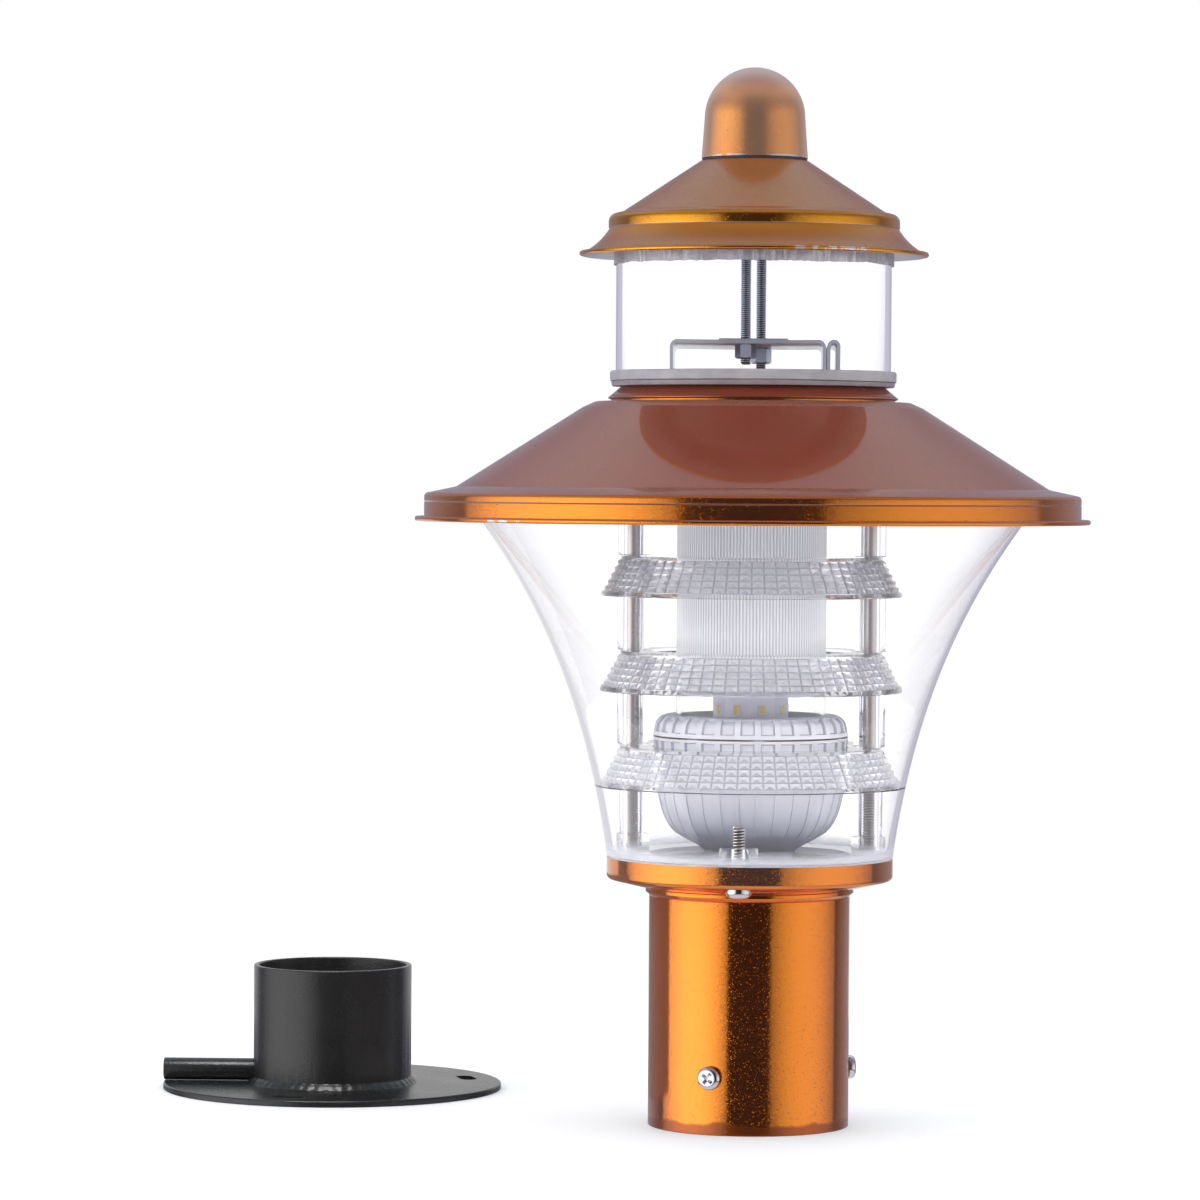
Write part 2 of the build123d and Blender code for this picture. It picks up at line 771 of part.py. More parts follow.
# Bridge bracket: one bent strip, drawn along the middle of its thickness
strap_under_z = bracket_top_z - bracket_strip
low_z = platform_z + bracket_strip / 2
high_z = bracket_top_z - bracket_strip / 2
left_leg_x = bracket_left_foot - foot_x
hook_out_x = foot_x - bracket_right_foot
hook_in_x = hook_out_x - hook_width
hairpin = bracket_strip + hairpin_gap
right_leg_x = hook_in_x - hairpin
bends = 3 * [bracket_bend] + 2 * [hairpin * nearly_half] + 2 * [hook_width * nearly_half] + [bracket_bend]
with BuildPart() as bridge_bracket:
    with BuildLine(Plane.XZ) as strip_line:
        FilletPolyline(
            (-foot_x, low_z),
            (left_leg_x, low_z),
            (left_leg_x, high_z),
            (right_leg_x, high_z),
            (right_leg_x, low_z),
            (hook_in_x, low_z),
            (hook_in_x, high_z),
            (hook_out_x, high_z),
            (hook_out_x, low_z),
            (foot_x, low_z),
            radius=bends,
        )
    with BuildSketch(Plane((-foot_x, 0, low_z), x_dir=(0, 1, 0), z_dir=(1, 0, 0))):
        Rectangle(bracket_width, bracket_strip)
    sweep(path=strip_line.wire())
    with BuildSketch(Plane.XY.offset(strap_under_z)):
        Rectangle(bracket_pad, bracket_width)
    extrude(amount=bracket_strip + bracket_pad_height)
    with BuildSketch(Plane.XY.offset(strap_under_z)):
        with Locations(*cap_screw_places):
            Circle(cap_screw_thread / 2 + hole_slack)
    extrude(amount=bracket_strip + bracket_pad_height, mode=Mode.SUBTRACT)
    with BuildSketch(Plane.XY.offset(platform_z)):
        with Locations(*rivet_places):
            Circle(rivet_od / 2 + thread_slack)
    extrude(amount=bracket_strip, mode=Mode.SUBTRACT)

# Rivets through the bracket's feet and the platform
with BuildPart() as bracket_rivets:
    for level, height in (
        (platform_under_z - rivet_head_height, rivet_head_height),
        (platform_z + bracket_strip, rivet_head_height),
    ):
        with BuildSketch(Plane.XY.offset(level)):
            with Locations(*rivet_places):
                Circle(rivet_head / 2)
        extrude(amount=height)
    with BuildSketch(Plane.XY.offset(platform_under_z)):
        with Locations(*rivet_places):
            Circle(rivet_od / 2)
    extrude(amount=sheet + bracket_strip)

# Top cap: flat crown, cone, bead and flare in one sheet, with a rolled rim
bead_low_z = cap_bead_z - cap_bead_height
flare_end = Vector(cap_bead_r + cap_overhang, bead_low_z - cap_flare_drop)
flare_chord = flare_end - Vector(cap_bead_r, bead_low_z)
flare_middle = Vector(cap_bead_r, bead_low_z) + flare_chord / 2
flare_normal = Vector(flare_chord.Y, -flare_chord.X).normalized()
with BuildPart() as top_cap:
    with BuildSketch(Plane.XZ):
        with BuildLine():
            FilletPolyline(
                (0, cap_top_z),
                (finial_foot_r, cap_top_z),
                (cap_bead_r, cap_bead_z),
                (cap_bead_r, bead_low_z),
                radius=[cap_crown_bend, cap_bead_bend],
            )
            ThreePointArc((cap_bead_r, bead_low_z), flare_middle + flare_normal * cap_flare_sag, flare_end)
            offset(amount=sheet, side=Side.RIGHT)
        make_face()
        with Locations(flare_end):
            Circle(cap_roll)
    revolve(axis=Axis.Z)
    with BuildSketch(Plane.XY.offset(cap_top_z)):
        with Locations(*cap_screw_places):
            Circle(cap_screw_thread / 2 + thread_slack)
    extrude(amount=-sheet, mode=Mode.SUBTRACT)

# Long cap screws under the finial, and their nuts under the bracket
with BuildPart() as cap_screws:
    with Locations(*[(x, y, cap_top_z) for x, y in cap_screw_places]):
        add(
            pan_screw(
                cap_screw_thread,
                cap_screw_head,
                cap_screw_head_height,
                cap_top_z - cap_nut_z + cap_screw_tail,
            )
        )

with BuildPart() as cap_screw_nuts:
    with Locations(*[(x, y, cap_nut_z) for x, y in cap_screw_places]):
        add(hex_nut(cap_nut_flats, cap_screw_thread, cap_nut_height))

# Finial dome and its washer
with BuildPart() as finial_washer:
    with BuildSketch(Plane.XY.offset(cap_top_z)):
        Circle(finial_foot_r - finial_gasket_inset)
        Circle(finial_foot_r - finial_gasket_width, mode=Mode.SUBTRACT)
    extrude(amount=finial_gasket)

dome_z = finial_z + finial_skirt
with BuildPart() as finial_dome:
    with BuildSketch(Plane.XZ):
        with BuildLine():
            Line((finial_foot_r, finial_z), (finial_r, dome_z))
            CenterArc((0, dome_z), finial_r, 0, 90)
            offset(amount=finial_wall, side=Side.LEFT)
        make_face()
    revolve(axis=Axis.Z)

# LED bulb: screw cap and tip
bulb_cap_r = bulb_cap_od / 2
cap_taper_z = bulb_cap_z + bulb_cap_r - bulb_tip_od / 2
with BuildPart() as bulb_cap:
    with BuildSketch(Plane.XZ):
        with BuildLine():
            Polyline(
                (bulb_tip_stem / 2, bulb_cap_z),
                (bulb_tip_od / 2, bulb_cap_z),
                (bulb_cap_r, cap_taper_z),
                (bulb_cap_r, bulb_z + cap_insert),
                (bulb_cap_r - bulb_cap_wall, bulb_z + cap_insert),
                (bulb_cap_r - bulb_cap_wall, cap_taper_z),
                (bulb_tip_stem / 2, bulb_cap_z + bulb_cap_wall),
                close=True,
            )
        make_face()
    revolve(axis=Axis.Z)

with BuildPart() as bulb_tip:
    with BuildSketch(Plane.XY.offset(bulb_cap_z)):
        Circle(bulb_tip_od / 2)
    extrude(amount=-bulb_tip_height)
    fillet(bulb_tip.edges().group_by(Axis.Z)[0], radius=bulb_tip_round)
    with BuildSketch(Plane.XY.offset(bulb_cap_z)):
        Circle(bulb_tip_stem / 2 - thread_slack)
    extrude(amount=bulb_cap_wall)

# LED bulb: housing with its notched band, and the driver board on a ledge inside
bulb_neck_r = bulb_cap_r + bulb_neck_wall
bulb_band_r = bulb_r - bulb_shoulder
ledge_r = bulb_band_r - bulb_shell - bulb_ledge
with BuildPart() as bulb_housing:
    with BuildSketch(Plane.XZ):
        with BuildLine():
            Polyline(
                (bulb_wire_r, bulb_z),
                (bulb_neck_r - bulb_neck_taper, bulb_z),
                (bulb_neck_r, bulb_neck_z),
            )
            Bezier(
                (bulb_neck_r, bulb_neck_z),
                (bulb_neck_r + bulb_belly_reach, bulb_neck_z + bulb_belly_lift),
                (bulb_band_r - bulb_side_pull, bulb_band_z - bulb_side_drop),
                (bulb_band_r, bulb_band_z),
            )
            Polyline(
                (bulb_band_r, bulb_band_z),
                (bulb_r, bulb_split_z),
                (bulb_band_r - bulb_shell, bulb_split_z),
                (bulb_band_r - bulb_shell, bulb_band_z),
                (ledge_r, bulb_band_z),
            )
            Bezier(
                (ledge_r, bulb_band_z),
                (ledge_r - bulb_side_pull, bulb_band_z - bulb_side_drop + bulb_shell),
                (bulb_neck_r + bulb_belly_reach - bulb_shell, bulb_neck_z + bulb_belly_lift + bulb_shell),
                (bulb_wire_r, bulb_neck_z + bulb_shell),
            )
            Line((bulb_wire_r, bulb_neck_z + bulb_shell), (bulb_wire_r, bulb_z))
        make_face()
    revolve(axis=Axis.Z)
    with BuildSketch(Plane.XY.offset(bulb_z)):
        Circle(bulb_cap_r + thread_slack)
    extrude(amount=cap_insert, mode=Mode.SUBTRACT)
    with PolarLocations(bulb_r, notch_count):
        with Locations((0, 0, bulb_split_z - notch_margin)):
            Box(
                2 * notch_depth,
                notch_width,
                bulb_band_height - 2 * notch_margin,
                align=(Align.CENTER, Align.CENTER, Align.MAX),
                mode=Mode.SUBTRACT,
            )

with BuildPart() as bulb_driver:
    with BuildSketch(Plane.XY.offset(bulb_band_z)):
        Circle(bulb_band_r - bulb_shell - hole_slack)
    extrude(amount=driver_board)
    with BuildSketch(Plane.XY.offset(bulb_band_z)):
        with Locations((-driver_part_width / 2, 0)):
            Rectangle(driver_part_width, driver_part_width)
        with Locations((driver_can_od, 0)):
            Circle(driver_can_od / 2)
    extrude(amount=-driver_part_height)

# LED bulb: crown collar, diffuser, core and chips
diffuser_r = bulb_r - diffuser_inset
with BuildPart() as bulb_collar:
    with BuildSketch(Plane.XZ):
        with BuildLine():
            Polyline(
                (collar_hole / 2, bulb_split_z),
                (bulb_r, bulb_split_z),
                (bulb_r - collar_draft, bulb_split_z + collar_side),
                (bulb_r - collar_top_inset, collar_top_z),
                (diffuser_r + glass_slack, collar_top_z),
                (diffuser_r + glass_slack, collar_floor_z),
                (collar_hole / 2, collar_floor_z),
                close=True,
            )
        make_face()
    revolve(axis=Axis.Z)
    with PolarLocations(bulb_r - collar_draft, notch_count):
        with Locations((0, 0, bulb_split_z + collar_side - notch_margin)):
            Box(
                2 * notch_depth,
                notch_width,
                collar_height,
                align=(Align.CENTER, Align.CENTER, Align.MIN),
                mode=Mode.SUBTRACT,
            )

with BuildPart() as bulb_diffuser:
    with BuildSketch(Plane.XZ):
        with BuildLine():
            FilletPolyline(
                (diffuser_r, collar_floor_z),
                (diffuser_r, diffuser_top_z),
                (0, diffuser_top_z),
                radius=diffuser_bend,
            )
            offset(amount=diffuser_wall, side=Side.LEFT)
        make_face()
    revolve(axis=Axis.Z)

core_height = diffuser_top_z - diffuser_wall - core_headroom - collar_floor_z
core_flat = core_od / 2 * cos(radians(180 / core_sides))
with BuildPart() as led_core:
    with BuildSketch(Plane.XY.offset(collar_floor_z)):
        RegularPolygon(core_od / 2, core_sides, rotation=core_angle - 90 + 180 / core_sides)
        Circle(core_flat - core_wall, mode=Mode.SUBTRACT)
    extrude(amount=core_height)

chip_pitch = (core_height - 2 * chip_margin) / (chip_rows - 1)
with BuildPart() as led_chips:
    for row in range(chip_rows):
        with BuildSketch(Plane.XY.offset(collar_floor_z + chip_margin + row * chip_pitch - chip_height / 2)):
            with PolarLocations(core_flat + chip_thickness / 2, core_sides, start_angle=core_angle - 90):
                Rectangle(chip_thickness, chip_width)
        extrude(amount=chip_height)

# Mounting base: plate with slots, spigot with its weld, and the cable pipe
base_axis = Axis((base_x, base_y, 0), (0, 0, 1))
base_plan = Plane((base_x, base_y, 0))
base_section = Plane((base_x, base_y, 0), x_dir=(1, 0, 0), z_dir=(0, -1, 0))
plate_r = base_plate_od / 2
with BuildPart() as base_plate:
    with BuildSketch(base_plan):
        Circle(plate_r)
        with PolarLocations(plate_r - slot_edge, slot_count, start_angle=slot_angle):
            SlotOverall(slot_length, slot_width, rotation=90, mode=Mode.SUBTRACT)
    extrude(amount=base_plate_thickness)
    chamfer(
        base_plate.edges().filter_by(GeomType.CIRCLE).group_by(SortBy.RADIUS)[-1].sort_by(Axis.Z)[-1],
        length=base_edge,
    )

pipe_z = base_plate_thickness + pipe_lift + pipe_od / 2
pipe_plane = Plane((base_x, base_y, pipe_z), x_dir=(0, 1, 0), z_dir=(-1, 0, 0))
spigot_top_z = base_plate_thickness + spigot_height
with BuildPart() as base_spigot:
    with BuildSketch(base_section):
        with BuildLine():
            Polyline(
                (spigot_r, base_plate_thickness + weld_leg),
                (spigot_r, spigot_top_z),
                (spigot_r - spigot_wall, spigot_top_z),
                (spigot_r - spigot_wall, base_plate_thickness),
                (spigot_r + weld_leg, base_plate_thickness),
            )
            RadiusArc(
                (spigot_r + weld_leg, base_plate_thickness),
                (spigot_r, base_plate_thickness + weld_leg),
                weld_leg * weld_hollow,
            )
        make_face()
    revolve(axis=base_axis)
    with BuildSketch(pipe_plane):
        Circle(pipe_od / 2 + thread_slack)
    extrude(amount=plate_r, mode=Mode.SUBTRACT)

with BuildPart() as base_cable_pipe:
    with BuildSketch(pipe_plane.offset(spigot_r - spigot_wall - pipe_inside)):
        Circle(pipe_od / 2)
        Circle(pipe_bore / 2, mode=Mode.SUBTRACT)
    extrude(amount=plate_r - spigot_r + spigot_wall + pipe_inside)

pieces = {
    "pole_tube": pole_tube,
    "clamp_nuts": clamp_nuts,
    **clamp_screws,
    "pole_flange": pole_flange,
    **flange_screws,
    "holder_strap": holder_strap,
    "strap_screws": strap_screws,
    "lamp_holder": lamp_holder,
    "holder_ring": holder_ring,
    "holder_shell": holder_shell,
    "holder_contact": holder_contact,
    "bowl_seat_gasket": bowl_seat_gasket,
    "bowl": bowl,
    "bowl_rim_seal": bowl_rim_seal,
    **louvre_rings,
    **spacers,
    **tie_rods,
    "rod_top_nuts": rod_top_nuts,
    "rod_bottom_nuts": rod_bottom_nuts,
    "main_roof": main_roof,
    "lower_gasket": lower_gasket,
    "upper_glass": upper_glass,
    "upper_gasket": upper_gasket,
    "bridge_bracket": bridge_bracket,
    "bracket_rivets": bracket_rivets,
    "cap_screw_nuts": cap_screw_nuts,
    "top_cap": top_cap,
    "cap_screws": cap_screws,
    "finial_washer": finial_washer,
    "finial_dome": finial_dome,
    "bulb_cap": bulb_cap,
    "bulb_tip": bulb_tip,
    "bulb_housing": bulb_housing,
    "bulb_driver": bulb_driver,
    "bulb_collar": bulb_collar,
    "bulb_diffuser": bulb_diffuser,
    "led_core": led_core,
    "led_chips": led_chips,
    "base_plate": base_plate,
    "base_spigot": base_spigot,
    "base_cable_pipe": base_cable_pipe,
}
os.makedirs("parts", exist_ok=True)
for name, piece in pieces.items():
    piece.part.label = name
    export_step(piece.part, f"parts/{name}.step")
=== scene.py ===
"""Looks of the copper pillar light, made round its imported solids. Metres, +Z up, the front faces -Y."""
import json
from math import atan2, cos, pi, radians, sin, sqrt, tan, tau

import bmesh
import bpy
from mathutils import Matrix, Vector, noise
from mathutils.geometry import interpolate_bezier


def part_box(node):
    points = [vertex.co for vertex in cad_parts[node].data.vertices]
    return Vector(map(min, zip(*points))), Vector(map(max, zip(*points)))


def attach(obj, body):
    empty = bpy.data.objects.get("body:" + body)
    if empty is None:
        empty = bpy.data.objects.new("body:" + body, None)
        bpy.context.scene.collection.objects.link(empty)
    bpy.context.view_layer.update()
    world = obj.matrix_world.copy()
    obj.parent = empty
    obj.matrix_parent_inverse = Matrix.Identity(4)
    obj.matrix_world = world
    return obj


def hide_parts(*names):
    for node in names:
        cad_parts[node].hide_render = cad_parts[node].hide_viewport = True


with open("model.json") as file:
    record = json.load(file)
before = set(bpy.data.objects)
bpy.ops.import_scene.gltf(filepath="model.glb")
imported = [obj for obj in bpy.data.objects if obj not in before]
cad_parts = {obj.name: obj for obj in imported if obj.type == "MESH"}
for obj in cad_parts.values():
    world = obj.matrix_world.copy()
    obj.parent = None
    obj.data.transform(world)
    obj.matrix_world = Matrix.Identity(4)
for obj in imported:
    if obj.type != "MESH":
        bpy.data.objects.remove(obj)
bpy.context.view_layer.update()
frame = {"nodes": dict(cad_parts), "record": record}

scene = bpy.context.scene
MM = 0.001
MERGE = 0.0005 * MM
NODES = frame["nodes"]
BODY_OF = {node: body for body, nodes in frame["record"]["behaviour"]["bodies"].items() for node in nodes}

# Sizes that several pieces share
SHEET = 1.0 * MM  # spun metal
ROD_TURN = radians(-5)  # right-hand tie rod, from +X
NOTCHES = 30  # pockets and ribs round the bulb
FLUTES = 140  # round the bulb's cover
LAMP_HOLE = 38 * MM  # radius of the hole round the bulb, in the bowl's floor and the rings
THICK_THREAD = 2.5 * MM  # radius on the tie rods, clamp screws and flange screws
THIN_THREAD = 2.0 * MM  # radius on the cap screws
THREAD_HOLE = 2.8 * MM  # radius of a free hole for a thick thread
BASE_LOW, BASE_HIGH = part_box("base_plate")
BASE_AT = (BASE_LOW + BASE_HIGH) / 2
ON_BASE = Matrix.Translation((BASE_AT.x, BASE_AT.y, 0))


# Outlines, as lists of (radius, height)


def rounded(corners, steps=5):
    """Outline through (radius, height, rounding) corners, with an arc at each rounded one."""
    line = []
    for number, (x, z, rounding) in enumerate(corners):
        here = Vector((x, z))
        if not rounding:
            line.append(here)
            continue
        back = (Vector(corners[number - 1][:2]) - here).normalized()
        ahead = (Vector(corners[(number + 1) % len(corners)][:2]) - here).normalized()
        half = back.angle(ahead) / 2
        hub = here + (back + ahead).normalized() * rounding / sin(half)
        first = here + back * rounding / tan(half) - hub
        last = here + ahead * rounding / tan(half) - hub
        line += [hub + first.lerp(last, k / steps).normalized() * rounding for k in range(steps + 1)]
    return line


def arc(hub, radius, start, end, steps):
    """Points on a circle between two angles in degrees."""
    turns = [radians(start + (end - start) * k / steps) for k in range(steps + 1)]
    return [Vector((hub[0] + radius * cos(turn), hub[1] + radius * sin(turn))) for turn in turns]


def bowed(start, end, sag, steps):
    """Points from start to end that bow to the right of the way by a sag."""
    start, end = Vector(start), Vector(end)
    way = (end - start).normalized()
    side = Vector((way.y, -way.x))
    shares = [k / steps for k in range(steps + 1)]
    return [start.lerp(end, share) + side * sag * 4 * share * (1 - share) for share in shares]


def curve(start, first, second, end, steps):
    """Points on a cubic curve with two handles."""
    return [point.xy for point in interpolate_bezier(start, first, second, end, steps)]


def evenly(start, end, count):
    """Points along a straight stretch, both ends included."""
    return [Vector(start).lerp(Vector(end), k / count) for k in range(count + 1)]


def eased_ring(bore, outer, foot, head, edge, steps=3):
    """Square section of a ring or tube with four eased corners."""
    corners = [(bore, foot, edge), (outer, foot, edge), (outer, head, edge), (bore, head, edge)]
    return rounded(corners, steps)


def span(node):
    """Outer radius, foot and head of a CAD node that is round about the lamp's axis."""
    low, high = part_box(node)
    return high.x, low.z, high.z


def middle(node):
    """Middle of a CAD node's box."""
    low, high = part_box(node)
    return (low + high) / 2


# Mesh tools


def lathe(outline, steps=160, closed=False):
    """Spins an outline round the axis Z. An open outline's outermost face points outwards."""
    bm = bmesh.new()
    verts = [bm.verts.new((x, 0, z)) for x, z in outline]
    edges = [bm.edges.new(pair) for pair in zip(verts, verts[1:])]
    if closed:
        edges.append(bm.edges.new((verts[-1], verts[0])))
    bmesh.ops.spin(
        bm, geom=verts + edges, cent=(0, 0, 0), axis=(0, 0, 1), angle=tau, steps=steps, use_merge=True
    )
    bmesh.ops.remove_doubles(bm, verts=bm.verts, dist=MERGE)
    bmesh.ops.recalc_face_normals(bm, faces=bm.faces)
    outermost = max(bm.faces, key=lambda face: face.calc_center_median().xy.length)
    if outermost.normal.xy.dot(outermost.calc_center_median().xy) < 0:
        bmesh.ops.reverse_faces(bm, faces=bm.faces)
    return bm


def spun_sheet(outline, thickness, steps=192):
    """A sheet metal turning: the outline is its outer face, and the wall grows inwards."""
    bm = lathe(outline, steps)
    bmesh.ops.solidify(bm, geom=bm.faces, thickness=thickness)
    return bm


def stamp(bm, shape, matrix=Matrix()):
    """Adds a moved copy of a bmesh to another one."""
    mesh = bpy.data.meshes.new("stamp")
    shape.to_mesh(mesh)
    mesh.transform(matrix)
    bm.from_mesh(mesh)
    bpy.data.meshes.remove(mesh)


def add(bm, shape, matrix=Matrix()):
    """Adds a moved bmesh to another one, and uses it up."""
    stamp(bm, shape, matrix)
    shape.free()


def verts_of(geom):
    """The vertices among the elements that an operator made."""
    return [part for part in geom if isinstance(part, bmesh.types.BMVert)]


def close_holes(bm):
    """Caps the open ends of a shape and turns its faces outwards."""
    bmesh.ops.holes_fill(bm, edges=[edge for edge in bm.edges if edge.is_boundary])
    bmesh.ops.recalc_face_normals(bm, faces=bm.faces)


def second_finish(bm, chosen):
    """Gives the second material to the faces that a test of a face and its middle picks."""
    for face in bm.faces:
        face.material_index = int(chosen(face, face.calc_center_median()))


def looks_in(face, at):
    """True for a face that looks towards the lamp's axis."""
    return face.normal.xy.dot(at.xy) < -0.3 * at.xy.length


def combine(bm, tool, operation):
    """Cuts, joins or intersects one bmesh with another. Both are used up."""
    pair = []
    for part in (bm, tool):
        mesh = bpy.data.meshes.new("part")
        part.to_mesh(mesh)
        part.free()
        pair.append(bpy.data.objects.new("part", mesh))
        scene.collection.objects.link(pair[-1])
    modifier = pair[0].modifiers.new("combine", "BOOLEAN")
    modifier.operation = operation
    modifier.solver = "EXACT"
    modifier.object = pair[1]
    result = bmesh.new()
    result.from_mesh(pair[0].evaluated_get(bpy.context.evaluated_depsgraph_get()).to_mesh())
    for part in pair:
        bpy.data.meshes.remove(part.data)
    return result


def rods(places, radius, foot, head, steps=32):
    """Upright round bars at (x, y) places, to cut holes or make bosses with."""
    bm = bmesh.new()
    for x, y in places:
        bmesh.ops.create_cone(
            bm,
            cap_ends=True,
            segments=steps,
            radius1=radius,
            radius2=radius,
            depth=head - foot,
            matrix=Matrix.Translation((x, y, (foot + head) / 2)),
        )
    return bm


def ridge(radius, pitch, foot, head, steps=14):
    """Screw thread: a closed V ridge that winds up the axis Z."""
    core = radius - 0.6 * pitch
    section = [(core, 0), (radius, 0.42 * pitch), (radius, 0.58 * pitch), (core, pitch)]
    turn = bmesh.new()
    verts = [turn.verts.new((x, 0, foot + z)) for x, z in section]
    edges = [turn.edges.new((verts[k - 1], verts[k])) for k in range(len(verts))]
    bmesh.ops.spin(
        turn,
        geom=verts + edges,
        cent=(0, 0, 0),
        axis=(0, 0, 1),
        dvec=(0, 0, pitch / steps),
        angle=tau,
        steps=steps,
    )
    bm = bmesh.new()
    for number in range(int((head - foot) / pitch) - 1):
        stamp(bm, turn, Matrix.Translation((0, 0, number * pitch)))
    turn.free()
    bmesh.ops.remove_doubles(bm, verts=bm.verts, dist=MERGE)
    close_holes(bm)
    return bm


def mark_roots(bm, radius, foot, head):
    """Marks what lies inside a radius between two levels on Z as a valley, where the metals paint shade.
    """
    valley = bm.verts.layers.float.get("valley") or bm.verts.layers.float.new("valley")
    for vert in bm.verts:
        if foot <= vert.co.z <= head and vert.co.xy.length < radius:
            vert[valley] = 1.0


def piece(name, bm, materials, nodes, matrix=Matrix(), sharp=32):
    """Makes a bmesh a smooth piece that stands for CAD nodes and rides on their body."""
    mesh = bpy.data.meshes.new(name)
    bm.to_mesh(mesh)
    bm.free()
    mesh.transform(matrix)
    mesh.shade_smooth()
    mesh.set_sharp_from_angle(angle=radians(sharp))
    for material in materials:
        mesh.materials.append(material)
    made = bpy.data.objects.new(name, mesh)
    scene.collection.objects.link(made)
    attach(made, BODY_OF[nodes[0]])
    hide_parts(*nodes)
    return made


# Shaders


class Value:
    """A shader socket, with sums that add Math nodes."""

    def __init__(self, paint, socket):
        self.paint = paint
        self.socket = socket

    def sum(self, operation, *terms):
        return self.paint.node("Math", {"operation": operation}, dict(enumerate(terms)))

    def __add__(self, other):
        return self.sum("ADD", self, other)

    def __sub__(self, other):
        return self.sum("SUBTRACT", self, other)

    def __rsub__(self, other):
        return self.sum("SUBTRACT", other, self)

    def __mul__(self, other):
        return self.sum("MULTIPLY", self, other)

    def __gt__(self, other):
        return self.sum("GREATER_THAN", self, other)

    def __lt__(self, other):
        return self.sum("LESS_THAN", self, other)

    def __pow__(self, other):
        return self.sum("POWER", self, other)

    __radd__ = __add__
    __rmul__ = __mul__

    def ease(self, low, high):
        """0 below low, 1 above high, smooth between."""
        return self.paint.node(
            "MapRange",
            {"interpolation_type": "SMOOTHSTEP"},
            {"Value": self, "From Min": low, "From Max": high},
        )


class Paint:
    """One node tree, with a method that adds any node to it."""

    def __init__(self, name, owner=None):
        self.owner = owner or bpy.data.materials.new(name)
        self.owner.use_nodes = True
        self.tree = self.owner.node_tree
        self.tree.nodes.clear()

    def node(self, kind, settings=None, inputs=None, output=0):
        made = self.tree.nodes.new("ShaderNode" + kind)
        for name, setting in (settings or {}).items():
            setattr(made, name, setting)
        for key, entry in (inputs or {}).items():
            if isinstance(entry, Value):
                self.tree.links.new(entry.socket, made.inputs[key])
            else:
                made.inputs[key].default_value = entry
        return Value(self, made.outputs[output]) if made.outputs else made

    def place(self, scale=(1, 1, 1)):
        """Object coordinates, stretched by a scale."""
        spot = self.node("TexCoord", output="Object")
        return self.node("Mapping", {"vector_type": "POINT"}, {"Vector": spot, "Scale": scale})

    def parts(self, vector):
        """The three parts of a vector, one by one."""
        split = self.node("SeparateXYZ", {}, {0: vector})
        return [Value(self, output) for output in split.socket.node.outputs]

    def axes(self):
        """The three Object coordinates, one by one."""
        return self.parts(self.node("TexCoord", output="Object"))

    def noise(self, size, detail=2.0, stretch=(1, 1, 1), roughness=0.5):
        """Noise between 0 and 1 whose lumps are about as large as size."""
        spot = self.place(stretch)
        return self.node(
            "TexNoise", {}, {"Vector": spot, "Scale": 1 / size, "Detail": detail, "Roughness": roughness}
        )

    def mix(self, factor, first, second):
        return self.node("Mix", {"data_type": "RGBA"}, {0: factor, 6: first, 7: second}, 2)

    def bump(self, height, distance, strength=1.0, normal=None):
        inputs = {"Height": height, "Distance": distance, "Strength": strength}
        if normal:
            inputs["Normal"] = normal
        return self.node("Bump", {}, inputs)

    def principled(self, **sockets):
        """Principled shader, with sockets named in lower case and underscores."""
        names = {"ior": "IOR", "coat_ior": "Coat IOR", "specular_ior_level": "Specular IOR Level"}
        inputs = {names.get(key, key.replace("_", " ").title()): entry for key, entry in sockets.items()}
        return self.node("BsdfPrincipled", {}, inputs)

    def done(self, shader):
        self.node("OutputMaterial", {}, {"Surface": shader})
        return self.owner


def rgb(red, green, blue):
    return (red, green, blue, 1.0)


BARE_METAL = rgb(0.72, 0.70, 0.70)


